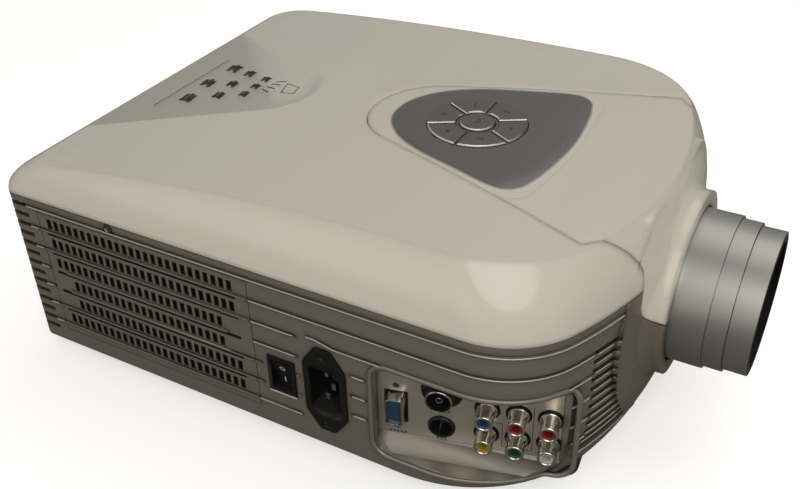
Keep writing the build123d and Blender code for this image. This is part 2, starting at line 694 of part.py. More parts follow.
# Openings through the base
cuts = []
for n in range(LOUVRE_COUNT):
    low = LOUVRE_LOW_Z + LOUVRE_PITCH * n - LOUVRE_HEIGHT / 2
    slat = block(louvre_root_x, past_front_x, -louvre_side_y, louvre_side_y, low, low + LOUVRE_HEIGHT)
    cuts += (slat - round_x(FLARE_RADIUS - 1.0, louvre_root_x - 10, past_front_x + 10)).solids()
for n in range(REAR_LOUVRE_COUNT):
    low = REAR_LOUVRE_LOW_Z + REAR_LOUVRE_PITCH * n - LOUVRE_HEIGHT / 2
    high = low + LOUVRE_HEIGHT
    cuts.append(block(past_rear_x, REAR_X + 3.5, -REAR_GRILLE_HALF, REAR_GRILLE_HALF, low, high))
    cuts.append(block(past_rear_x, rear_louvre_x, -past_y, -rear_corner_y, low, high))
    cuts.append(block(past_rear_x, rear_louvre_x, rear_corner_y, past_y, low, high))
for z in rib_heights()[:6]:
    cuts.append(far_block(FAR_SLOT_REAR_X, FAR_SLOT_FRONT_X, z + 3.4, z + 7.4, 7.0))
for n in range(7):
    low = SPEAKER_Z - 13.0 + 4.0 * n
    cuts.append(far_block(SPEAKER_X - 12, SPEAKER_X + 12, low, low + 2.0, 7.0))
for n in range(8):
    cuts.append(block(-116 + 6.0 * n, -113 + 6.0 * n, -30, 30, 0, FOOT_HEIGHT + 10))
cuts.append(recess(0))
cuts.append(plate_block(-10.7, 74.7, 25.0, 73.0, -PLATE_THICKNESS - 0.2, 0.0))
cuts.append(near_block(ROCKER_X - 7.6, ROCKER_X + 7.6, ROCKER_Z - 10.6, ROCKER_Z + 10.6, 1.2))
cuts.append(near_block(ROCKER_X - 6.6, ROCKER_X + 6.6, ROCKER_Z - 9.6, ROCKER_Z + 9.6))
cuts.append(near_block(INLET_X - 9.9, INLET_X + 9.9, INLET_Z - 13.9, INLET_Z + 13.9))


def flange_plan(grow):
    """Inlet flange seen from the side: a long six-sided plate with narrow ends."""
    half_x = INLET_FLANGE[0] / 2
    half_z = INLET_FLANGE[1] / 2
    points = [(half_x, 14.5), (4.0, half_z), (-4.0, half_z), (-half_x, 14.5)]
    points += [(-x, -z) for x, z in points]
    face = make_face(Polyline(*points, close=True))
    face = fillet(face.vertices(), 2.5)
    return offset(face, grow) if grow else face


def side_prism(sketch, x, z, y0, y1):
    """Prism along Y from a sketch drawn with x along X and y up."""
    upright = Plane(origin=(x, y1, z), x_dir=(1, 0, 0), z_dir=(0, -1, 0))
    return extrude(upright * sketch, y1 - y0)


flange_back = 1.6 - HALF_WIDTH
cuts.append(side_prism(flange_plan(0.2), INLET_X, INLET_Z, -past_y, flange_back))
for x, z, way in side_screws:
    cuts.append(round_y(1.25, *sorted((way * (HALF_WIDTH - 8.5), way * (HALF_WIDTH + 5))), x, z))
    cuts.append(round_y(2.5, *sorted((way * (side_y - 1.3), way * (side_y + 5))), x, z))
for x, y in columns:
    cuts.append(round_z(3.4, 0, SCREW_HEAD_TOP, x, y))
    cuts.append(round_z(1.7, 0, COLUMN_TOP + 1, x, y))
for x, y in CEILING_HOLES:
    cuts.append(round_z(CEILING_HOLE_RADIUS, 0, 20.5, x, y))
for x, y in (front_foot, rear_foot):
    cuts.append(round_z(3.0, 0, 20, x, y))
    cuts.append(round_z(3.0, 0, 20, x, -y))
base = base - cuts
nodes["base_shell"] = base

# Side panel: slots above the ribs, a groove under each rib and two flat finger tabs
panel = panel_block(0, -HALF_WIDTH, wall_y)
tabs = near_block(PANEL_REAR_X, PANEL_REAR_X + 11, TAB_LOW_Z, TAB_HIGH_Z)
tabs += near_block(PANEL_FRONT_X - TAB_LENGTH, PANEL_FRONT_X, TAB_LOW_Z + 9, TAB_HIGH_Z + 4)
panel_ribs = panel_ribs - tabs
panel = panel + panel_ribs
slots = []
for z in rib_heights()[:6]:
    low = z + RIB_HEIGHT / 2 + SLOT_OVER_RIB
    for n in range(SLOT_COUNT):
        x = SLOT_FIRST_X + SLOT_PITCH * n
        behind_tab = TAB_LOW_Z - 5 < low < TAB_HIGH_Z - 2 and x < PANEL_REAR_X + 13
        before_tab = TAB_LOW_Z + 5 < low < TAB_HIGH_Z + 2 and x > PANEL_FRONT_X - TAB_LENGTH - 2
        if not (behind_tab or before_tab):
            slots.append(near_block(x - SLOT_WIDTH / 2, x + SLOT_WIDTH / 2, low, low + SLOT_HEIGHT))
for z in rib_heights()[1:6]:
    high = z - RIB_HEIGHT / 2
    slots.append(near_block(SLOT_FIRST_X - 3, PANEL_FRONT_X - 7, high - GROOVE_HEIGHT, high, GROOVE_DEPTH))
panel = panel - slots
nodes["side_panel"] = panel
nodes["dust_filter"] = panel_block(-0.5, ledge_y, ledge_y + 3)

# Keypad
pad = pad_layer(0, PAD_SINK, pad_bottom)
pad -= round_z(BUTTON_RING_RADIUS + BUTTON_CLEARANCE, 100, 150, BUTTON_X, 0)
nodes["control_pad"] = pad
low, top = BUTTON_FLANGE_LOW_Z, BUTTON_FLANGE_TOP_Z


def guide_bore(x, y):
    """Bore in a button's underside that slides on the guide pin of its dome."""
    return round_z(GUIDE_RADIUS + RUNNING, STEM_LOW_Z - 1, GUIDE_TOP_Z + 1.5, x, y)


centre = round_z(BUTTON_CENTRE_RADIUS, low, BUTTON_TOP_Z + 0.3, BUTTON_X, 0)
centre = chamfer(centre.edges().sort_by(Axis.Z)[-1], 0.8)
centre += round_z(BUTTON_CENTRE_RADIUS + 0.7, low, top, BUTTON_X, 0)
centre += round_z(STEM_RADIUS, STEM_LOW_Z, low, BUTTON_X, 0)
nodes["button_centre"] = centre - guide_bore(BUTTON_X, 0)
button_names = ["front", "front_left", "rear_left", "rear", "rear_right", "front_right"]
dome_places = [(BUTTON_X, 0.0)]
stem_reach = (BUTTON_RING_INNER + BUTTON_RING_RADIUS) / 2
for n, name in enumerate(button_names):
    turn = 60 * n
    face = ring_sector(BUTTON_RING_INNER, BUTTON_RING_RADIUS, turn, BUTTON_GAP, low, BUTTON_TOP_Z)
    rim = [e for e in face.edges() if abs(e.center().Z - BUTTON_TOP_Z) < 0.01]
    face = chamfer(rim, 0.6)
    skirt = ring_sector(BUTTON_RING_INNER, BUTTON_RING_RADIUS + BUTTON_LIP, turn, BUTTON_GAP, low, top)
    stem_x = BUTTON_X + stem_reach * math.cos(math.radians(turn))
    stem_y = stem_reach * math.sin(math.radians(turn))
    button = face + skirt + round_z(STEM_RADIUS, STEM_LOW_Z, low, stem_x, stem_y)
    nodes["button_" + name] = button - guide_bore(stem_x, stem_y)
    dome_places.append((stem_x, stem_y))
board_low = KEYPAD_BOARD_Z - BOARD_THICKNESS
nodes["keypad_board"] = block(BUTTON_X - 31, BUTTON_X + 31, -30, 30, board_low, KEYPAD_BOARD_Z)
domes = round_z(26.5, KEYPAD_BOARD_Z, KEYPAD_BOARD_Z + 1.2, BUTTON_X, 0)
for x, y in dome_places:
    domes += Pos(x, y, KEYPAD_BOARD_Z + 2.2) * Cone(4.2, 2.8, 2.4)
    domes += round_z(GUIDE_RADIUS, KEYPAD_BOARD_Z + 3, GUIDE_TOP_Z, x, y)
nodes["keypad_domes"] = domes

# Rocker switch, resting with its upper half pressed
def switch_block(half_x, half_z, y0, y1):
    """Block centred on the switch between two stations across the casing."""
    return block(ROCKER_X - half_x, ROCKER_X + half_x, y0, y1, ROCKER_Z - half_z, ROCKER_Z + half_z)


frame_back = 1.2 - HALF_WIDTH
switch_back = 18.0 - HALF_WIDTH
housing = switch_block(ROCKER_FRAME[0] / 2, ROCKER_FRAME[1] / 2, -side_y, frame_back)
housing += switch_block(6.5, 9.5, frame_back, switch_back)
housing -= switch_block(ROCKER_OPENING[0] / 2, ROCKER_OPENING[1] / 2, -past_y, switch_back - 5.0)
housing -= round_x(1.2 + RUNNING, ROCKER_X - 6.2, ROCKER_X + 6.2, pivot_y, ROCKER_Z)
for z in (ROCKER_Z - 5, ROCKER_Z + 5):
    housing += block(ROCKER_X - 3.1, ROCKER_X + 3.1, switch_back, switch_back + 8, z - 0.4, z + 0.4)
nodes["rocker_housing"] = housing
profile = [(-3.8, 8.0), (-2.7, 0.0), (-3.8, -8.0), (-0.8, -8.0), (2.0, -5.0), (2.0, 5.0), (-0.8, 8.0)]
key = make_face(Polyline(*profile, close=True))
key = extrude(Plane(origin=(-5.5, 0, 0), x_dir=(0, 1, 0), z_dir=(1, 0, 0)) * key, 11.0)
key += round_x(1.2, -6.1, 6.1, 0, 0)
nodes["rocker"] = Pos(ROCKER_X, pivot_y, ROCKER_Z) * Rot(ROCKER_TILT, 0, 0) * key

# Mains inlet
inlet = side_prism(flange_plan(0), INLET_X, INLET_Z, -side_y, flange_back)
inlet_rear = 18.4 - HALF_WIDTH
inlet += block(INLET_X - 9.8, INLET_X + 9.8, flange_back, inlet_rear, INLET_Z - 13.8, INLET_Z + 13.8)
w, h = INLET_SOCKET[0] / 2, INLET_SOCKET[1] / 2
mouth = [(-w, -h), (w - 4, -h), (w, 4 - h), (w, h - 4), (w - 4, h), (-w, h)]
mouth_face = make_face(Polyline(*mouth, close=True))
inlet_back = -side_y + INLET_DEPTH
inlet -= side_prism(mouth_face, INLET_X, INLET_Z, -past_y, inlet_back)
for z in (INLET_Z - 20, INLET_Z + 20):
    inlet -= round_y(1.6, -past_y, 7.0 - HALF_WIDTH, INLET_X, z)
    inlet -= round_y(2.5, -past_y, 1.3 - side_y, INLET_X, z)
pins = []
for dx, dz in ((-1.5, -7.0), (2.0, 0.0), (-1.5, 7.0)):
    x, z = INLET_X + dx, INLET_Z + dz
    pin_w, pin_h = INLET_PIN
    pin_ends = (inlet_back - 11.5, inlet_rear + 5.6)
    pins.append(block(x - pin_w / 2, x + pin_w / 2, *pin_ends, z - pin_h / 2, z + pin_h / 2))
inlet = inlet - pins
nodes["inlet_housing"] = inlet
nodes["inlet_pins"] = Compound(pins)

# Input plate with its sockets
phono_places = [PHONO_FIRST + PHONO_PITCH * n for n in range(3)]
phono_rows = [PHONO_LOW_Z, PHONO_LOW_Z + PHONO_ROW_PITCH]
plate = plate_block(-10.5, 74.5, 25.2, 72.8, -PLATE_THICKNESS, 0.0)
plate -= plate_block(-5.5, 5.5, VIDEO_Z - 9.5, VIDEO_Z + 9.5, -5, 5)
for z in (VIDEO_Z - VIDEO_SCREW_PITCH / 2, VIDEO_Z + VIDEO_SCREW_PITCH / 2):
    plate -= plate_round(VIDEO_SCREW_HOLE, 0, z, -5, 5)
plate -= plate_round(AERIAL_RECESS, AERIAL_AT, AERIAL_Z, -5, 5)
plate -= plate_round(ROUND_SOCKET_RADIUS, AERIAL_AT, ROUND_SOCKET_Z, -5, 5)
for s in phono_places:
    for z in phono_rows:
        plate -= plate_round(PHONO_HOLE, s, z, -5, 5)
nodes["input_plate"] = plate
nodes["input_board"] = plate_block(-4.0, 74.0, 27.0, 70.0, BOARD_BACK - BOARD_THICKNESS, BOARD_BACK)


def d_shape(grow):
    """Outline of the video socket, its long side upright."""
    points = [(-4.1, 7.3), (4.1, 8.1), (4.1, -8.1), (-4.1, -7.3)]
    face = fillet(make_face(Polyline(*points, close=True)).vertices(), 2.0)
    return offset(face, grow) if grow else face


shell_face = Pos(0, VIDEO_Z) * (d_shape(0) - d_shape(-0.6))
video = on_plate(Pos(0, 0, BOARD_BACK) * extrude(shell_face, 5.0 - BOARD_BACK))
flange_front = -PLATE_THICKNESS
flange_rear = flange_front - 1.0
video_flange = plate_block(-6.5, 6.5, VIDEO_Z - 15.5, VIDEO_Z + 15.5, flange_rear, flange_front)
video_flange -= on_plate(Pos(0, VIDEO_Z, flange_rear - 1) * extrude(d_shape(-0.3), 5.0))
video += video_flange
for z in (VIDEO_Z - VIDEO_SCREW_PITCH / 2, VIDEO_Z + VIDEO_SCREW_PITCH / 2):
    video -= plate_round(VIDEO_SCREW_HOLE, 0, z, -5, 10)
nodes["vga_shell"] = video
nodes["vga_insert"] = on_plate(Pos(0, VIDEO_Z, BOARD_BACK) * extrude(d_shape(-0.6), 3.8 - BOARD_BACK))

aerial = plate_round(AERIAL_RECESS, AERIAL_AT, AERIAL_Z, -PLATE_THICKNESS, 0.0)
aerial += plate_round(AERIAL_RADIUS, AERIAL_AT, AERIAL_Z, BOARD_BACK, 7.0)
aerial -= plate_round(AERIAL_RADIUS - 1.1, AERIAL_AT, AERIAL_Z, -8.0, 10.0)
nodes["aerial_shell"] = aerial
core = plate_round(AERIAL_RADIUS - 1.1, AERIAL_AT, AERIAL_Z, -8.0, -1.0)
core += plate_round(1.2, AERIAL_AT, AERIAL_Z, -2.0, 5.5)
nodes["aerial_core"] = core
round_socket = plate_round(ROUND_SOCKET_RADIUS, AERIAL_AT, ROUND_SOCKET_Z, BOARD_BACK, 1.0)
round_socket -= plate_round(4.7, AERIAL_AT, ROUND_SOCKET_Z, -7.0, 5.0)
nodes["svideo_jack"] = round_socket

shells = []
inserts = []
for z in phono_rows:
    for s in phono_places:
        shell_tube = plate_round(PHONO_RADIUS, s, z, BOARD_BACK, PHONO_REACH)
        flange = plate_round(PHONO_FLANGE, s, z, flange_rear, flange_front)
        shell_tube += flange & plate_block(0, 73.9, 20, 70, -5, 5)
        shell_tube -= plate_round(PHONO_RADIUS - 0.55, s, z, -9.0, PHONO_REACH + 5)
        shells.append(shell_tube)
        insert = plate_round(PHONO_RADIUS - 0.55, s, z, -9.0, PHONO_REACH - 0.6)
        insert -= plate_round(1.7, s, z, -2.0, PHONO_REACH + 5)
        inserts.append(insert)
nodes["rca_shells"] = Compound([s for tube in shells for s in tube.solids()])
nodes["rca_insert_yellow"] = inserts[0]
nodes["rca_insert_green"] = inserts[1]
nodes["rca_insert_white"] = inserts[2]
nodes["rca_insert_blue"] = inserts[3]
nodes["rca_inserts_red"] = Compound(inserts[4].solids() + inserts[5].solids())

# Lens
mount_front = MOUNT_X + MOUNT_THICKNESS
lens_mount = block(MOUNT_X, mount_front, -54, 54, FOOT_HEIGHT + FLOOR, 121)
lens_mount -= round_x(32, MOUNT_X - 1, mount_front + 1)
for way in (-1, 1):
    lens_mount += block(MOUNT_X - 14, MOUNT_X, *sorted((way * 50, way * 54)), FOOT_HEIGHT + FLOOR, 60)
nodes["lens_mount"] = lens_mount
barrel = round_x(BARREL_RADIUS, mount_front, BARREL_FRONT_X) + round_x(46, mount_front, mount_front + 3)
barrel -= round_x(TUBE_RADIUS + RUNNING, 118.5, BARREL_FRONT_X + 1)
barrel -= round_x(35.2, 146, BARREL_FRONT_X + 1)
barrel -= round_x(26, mount_front - 1, 119)
nodes["lens_barrel"] = barrel
nodes["rear_lens"] = round_x(26, 106, 113)
focus = round_x(RING_RADIUS, BARREL_FRONT_X + 0.3, RING_FRONT_X) + round_x(35.2 - RUNNING, 146.3, 160)
nodes["focus_ring"] = focus - round_x(TUBE_RADIUS + RUNNING, 140, 170)
front = round_x(FRONT_RADIUS, RING_FRONT_X + 0.4, LENS_FRONT_X) + round_x(TUBE_RADIUS, 120, RING_FRONT_X + 1)
front -= round_x(TUBE_RADIUS - TUBE_WALL, 119, LENS_FRONT_X + 1)
front += round_x(TUBE_RADIUS - TUBE_WALL + 0.5, 150, 152) - round_x(28, 149, 153)
nodes["front_barrel"] = front
nodes["front_lens"] = lens_x(TUBE_RADIUS - TUBE_WALL, 152, 154, 7.0)

# Light path
low_z = FOOT_HEIGHT + FLOOR
half = tunnel_half
inner = half - TUNNEL_WALL
tunnel_top = 2 * LENS_Z - TUNNEL_LOW_Z
inner_low = TUNNEL_LOW_Z + TUNNEL_WALL
inner_top = tunnel_top - TUNNEL_WALL
tunnel = block(TUNNEL_REAR_X, TUNNEL_FRONT_X, -half, half, TUNNEL_LOW_Z, tunnel_top)
tunnel -= block(TUNNEL_REAR_X + 3, TUNNEL_FRONT_X + 1, -inner, inner, inner_low, inner_top)
tunnel -= round_x(36, TUNNEL_REAR_X - 1, TUNNEL_REAR_X + 5)
for x in (TUNNEL_REAR_X, TUNNEL_FRONT_X - 8):
    for y in (-half, half - 8):
        tunnel += block(x, x + 8, y, y + 8, low_z, TUNNEL_LOW_Z + 1)
nodes["optics_tunnel"] = tunnel
nodes["condenser_lens"] = lens_x(36, TUNNEL_REAR_X, TUNNEL_REAR_X + 3, 8.0)
sheets = [("heat_glass", 18, 3), ("fresnel_rear", 46, 2.5), ("lcd_panel", 56, 4.5)]
sheets.append(("fresnel_front", 70, 2.5))
for name, along, thickness in sheets:
    x = TUNNEL_REAR_X + along
    nodes[name] = block(x, x + thickness, -inner, inner, inner_low, inner_top)

front_x, rear_x = LAMP_FRONT_X, LAMP_REAR_X
side = LAMP_RADIUS + 4
holder = block(rear_x - 12, front_x, -side, side, low_z, low_z + 3)
holder += block(front_x - 4, front_x, -side, side, low_z, LENS_Z + side)
holder -= round_x(LAMP_RADIUS, front_x - 5, front_x + 1)
holder += block(rear_x - 12, rear_x, -14, 14, low_z, LENS_Z + 14)
holder -= round_x(5, rear_x - 2, rear_x + 1)
nodes["lamp_holder"] = holder
bowl = []
for radius in (LAMP_RADIUS, LAMP_RADIUS - 2):
    rise = radius / LAMP_RADIUS
    edges = [
        Line((rear_x, 0), (rear_x, 12 * rise)),
        ThreePointArc((rear_x, 12 * rise), (rear_x + 20, 30.7 * rise), (front_x, radius)),
        Line((front_x, radius), (front_x, 0)),
        Line((front_x, 0), (rear_x, 0)),
    ]
    bowl.append(Pos(0, 0, LENS_Z) * revolve(Plane.XZ * make_face(edges), Axis.X))
reflector = (bowl[0] - bowl[1]) + round_x(11.8, rear_x, rear_x + 3)
reflector -= round_x(5, rear_x - 2, rear_x + 10)
nodes["lamp_reflector"] = reflector
bulb = round_x(5, rear_x - 2, rear_x + 22) + Pos(rear_x + 24, 0, LENS_Z) * Sphere(7)
nodes["lamp_bulb"] = bulb + round_x(2.5, rear_x + 28, rear_x + 38)

# Fans
fan_x = REAR_X + 3.8
exhaust = Pos(fan_x, 0, low_z + 40) * Rot(0, 90, 0)
nodes["exhaust_fan_frame"] = exhaust * fan_frame(80.0, 25.0)
nodes["exhaust_fan_rotor"] = exhaust * fan_rotor(80.0, 25.0)
intake = Pos(INTAKE_X, 30.0 - HALF_WIDTH, low_z + 30) * Rot(90, 0, 0)
nodes["intake_fan_frame"] = intake * fan_frame(60.0, 20.0)
nodes["intake_fan_rotor"] = intake * fan_rotor(60.0, 20.0)

# Boards and speaker
x0, x1, y0, y1 = power_board
top = BOARD_Z + BOARD_THICKNESS
nodes["power_board"] = block(x0, x1, y0, y1, BOARD_Z, top)
parts = [block(x0 + 12, x0 + 46, y0 + 5, y0 + 34, top, top + 30)]
parts += [block(x0 + 56 + 5 * n, x0 + 58 + 5 * n, y0 + 4, y0 + 38, top, top + 26) for n in range(5)]
parts += [round_z(8, top, top + 28, x0 + 92, y0 + 10), round_z(8, top, top + 28, x0 + 92, y0 + 30)]
parts += [block(x0 + 106, x0 + 130, y0 + 6, y0 + 30, top, top + 20)]
nodes["power_parts"] = Compound([s for p in parts for s in p.solids()])
x0, x1, y0, y1 = main_board
board = block(x0, x1, y0, y1, BOARD_Z, top)
for x, y, size in ((x0 + 14, y0 + 17, 18), (x0 + 38, y0 + 10, 12), (x0 + 38, y0 + 25, 10)):
    board += block(x - size / 2, x + size / 2, y - size / 2, y + size / 2, BOARD_Z + 1, BOARD_Z + 4)
nodes["main_board"] = board
speaker = round_y(19, -wall_y - 3, -wall_y, SPEAKER_X, SPEAKER_Z)
nodes["speaker"] = speaker + round_y(10, -wall_y - 14, -wall_y - 3, SPEAKER_X, SPEAKER_Z)

# Feet and screws
def foot(place, way, low_radius, high_radius):
    """Tapered foot with a peg up into the floor of the base."""
    x, y = place[0], way * place[1]
    cone = Pos(x, y, FOOT_HEIGHT / 2) * Cone(low_radius, high_radius, FOOT_HEIGHT)
    return cone + round_z(3.0, FOOT_HEIGHT, FOOT_HEIGHT + FLOOR, x, y)


def together(pieces):
    """One node from several pieces."""
    return Compound([solid for piece in pieces for solid in piece.solids()])


nodes["front_feet"] = together([foot(front_foot, way, 7.8, 9.2) for way in (-1, 1)])
nodes["rear_feet"] = together([foot(rear_foot, way, 5.8, 6.8) for way in (-1, 1)])
screws = []
for x, y in columns:
    head = round_z(2 * SCREW_RADIUS, SCREW_HEAD_TOP - 2.5, SCREW_HEAD_TOP, x, y)
    screws.append(head + round_z(SCREW_RADIUS, SCREW_HEAD_TOP, SCREW_TOP, x, y))
nodes["casing_screws"] = together(screws)
screws = []
for x, z, way in side_screws:
    head = round_y(2.3, *sorted((way * side_y, way * (side_y - 1.3))), x, z)
    head -= Pos(x, way * side_y, z) * Box(3.2, 1.0, 0.7)
    head -= Pos(x, way * side_y, z) * Box(0.7, 1.0, 3.2)
    screws.append(head + round_y(1.25, *sorted((way * (side_y - 1.3), way * (side_y - 7.5))), x, z))
nodes["side_screws"] = together(screws)

# Everything moves so that the origin lies under the middle of the whole length
middle_x = (REAR_X + LENS_FRONT_X) / 2
for name, shape in nodes.items():
    solids = [Pos(-middle_x, 0, 0) * solid for solid in shape.solids()]
    piece = solids[0] if len(solids) == 1 else Compound(solids)
    export_step(piece, "parts/" + name + ".step")
    print(name, len(solids), round(piece.volume))
print(len(nodes), "pieces")
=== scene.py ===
"""Looks of a desktop video projector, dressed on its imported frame."""

import logging
import math
from dataclasses import dataclass, field, replace
from enum import Enum
from typing import Callable, Iterable, Optional, Sequence

import bmesh
import bpy
from mathutils import Matrix, Vector


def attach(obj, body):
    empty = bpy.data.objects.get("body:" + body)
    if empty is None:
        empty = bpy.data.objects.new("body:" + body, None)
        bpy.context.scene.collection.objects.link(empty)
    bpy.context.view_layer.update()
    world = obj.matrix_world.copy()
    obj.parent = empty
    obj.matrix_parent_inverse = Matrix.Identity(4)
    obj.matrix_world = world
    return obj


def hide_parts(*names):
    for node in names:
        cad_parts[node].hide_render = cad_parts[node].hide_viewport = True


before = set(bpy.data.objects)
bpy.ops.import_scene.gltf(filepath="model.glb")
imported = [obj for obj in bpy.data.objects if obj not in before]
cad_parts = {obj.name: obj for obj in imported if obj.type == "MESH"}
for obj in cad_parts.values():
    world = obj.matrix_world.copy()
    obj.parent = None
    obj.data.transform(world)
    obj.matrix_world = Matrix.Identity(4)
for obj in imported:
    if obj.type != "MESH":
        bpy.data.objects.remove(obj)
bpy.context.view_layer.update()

logging.basicConfig(level=logging.INFO, format="%(name)s: %(message)s")
LOG = logging.getLogger("projector")

MM = 0.001
STATION_SHIFT = 4.5
Point = tuple[float, float, float]
Flat = tuple[float, float]
Colour = tuple[float, float, float]
Shape = Sequence[Flat]


class Body(Enum):
    """Rigid bodies that pieces ride on."""

    CASING = "casing"
    PANEL = "side_panel"
    ROCKER = "rocker"
    FOCUS = "focus_ring"
    FRONT = "front_barrel"
    EXHAUST = "exhaust_rotor"
    INTAKE = "intake_rotor"


class Relief(Enum):
    """Kinds of fine surface relief that a finish can have."""

    NONE = "none"
    MOULDED = "moulded"
    FLAKE = "flake"
    TURNED = "turned"


# Node wiring


class Wires:
    """Places and joins the nodes of one tree."""

    def __init__(self, tree: bpy.types.NodeTree) -> None:
        """Keep the tree."""
        self.tree = tree

    def feed(self, node: bpy.types.Node, values: dict[str | int, object]) -> None:
        """Set or join a node's inputs.

        Args:
            node: The node.
            values: Plain values, or sockets to join, by the input's name or number.
        """
        for label, value in values.items():
            if isinstance(value, bpy.types.NodeSocket):
                self.tree.links.new(value, node.inputs[label])
            else:
                node.inputs[label].default_value = value

    def add(
        self, kind: str, values: Optional[dict[str | int, object]] = None, **settings: object
    ) -> bpy.types.Node:
        """Place a node.

        Args:
            kind: The node's type.
            values: What its inputs get.
            settings: Its properties, set before the inputs.

        Returns:
            The node.
        """
        node = self.tree.nodes.new(kind)
        for label, setting in settings.items():
            setattr(node, label, setting)
        self.feed(node, values or {})
        return node

    def math(self, kind: str, *values: object) -> bpy.types.NodeSocket:
        """Result of a Math node on numbers or sockets."""
        return self.add("ShaderNodeMath", dict(enumerate(values)), operation=kind).outputs[0]

    def mix(self, share: object, first: object, second: object) -> bpy.types.NodeSocket:
        """Result of mixing two colours by a share."""
        values = {"Factor": share, "A": first, "B": second}
        return self.add("ShaderNodeMix", values, data_type="RGBA").outputs["Result"]

    def shared(self, group: bpy.types.NodeTree, **values: float) -> bpy.types.Node:
        """Place a shared group; underscores in the input names stand for blanks."""
        named = {label.replace("_", " "): value for label, value in values.items()}
        return self.add("ShaderNodeGroup", named, node_tree=group)


class GroupWires(Wires):
    """Wires of a new shader group, whose outputs are plain values."""

    def __init__(self, name: str, outputs: Sequence[str], **inputs: float) -> None:
        """Make an empty group.

        Args:
            name: The group's name.
            outputs: Names of its outputs.
            inputs: Usual values of its inputs; underscores in the names stand for blanks.
        """
        super().__init__(bpy.data.node_groups.new(name, "ShaderNodeTree"))
        face, kind = self.tree.interface, "NodeSocketFloat"
        for label, value in inputs.items():
            label = label.replace("_", " ")
            face.new_socket(label, in_out="INPUT", socket_type=kind).default_value = value
        for label in outputs:
            face.new_socket(label, in_out="OUTPUT", socket_type=kind)
        self.given = self.add("NodeGroupInput").outputs
        self.sink = self.add("NodeGroupOutput")

    def noise(
        self, scale: object, detail: float, stretch: Point = (1, 1, 1)
    ) -> bpy.types.NodeSocket:
        """Add a noise in Object coordinates.

        Args:
            scale: Number or socket for the noise's scale, per metre.
            detail: How many octaves it has.
            stretch: Scale along each axis.

        Returns:
            The noise's value.
        """
        place = self.add("ShaderNodeTexCoord").outputs["Object"]
        mapping = self.add("ShaderNodeMapping", {"Vector": place, "Scale": stretch})
        values = {"Vector": mapping.outputs["Vector"], "Scale": scale, "Detail": detail}
        return self.add("ShaderNodeTexNoise", values).outputs["Fac"]

    def normal(self) -> bpy.types.bpy_prop_collection:
        """X, Y and Z of the face's normal."""
        normal = self.add("ShaderNodeNewGeometry").outputs["Normal"]
        return self.add("ShaderNodeSeparateXYZ", {"Vector": normal}).outputs

    def done(self, **results: bpy.types.NodeSocket) -> bpy.types.NodeTree:
        """Join the outputs and hand back the finished group."""
        self.feed(self.sink, results)
        return self.tree


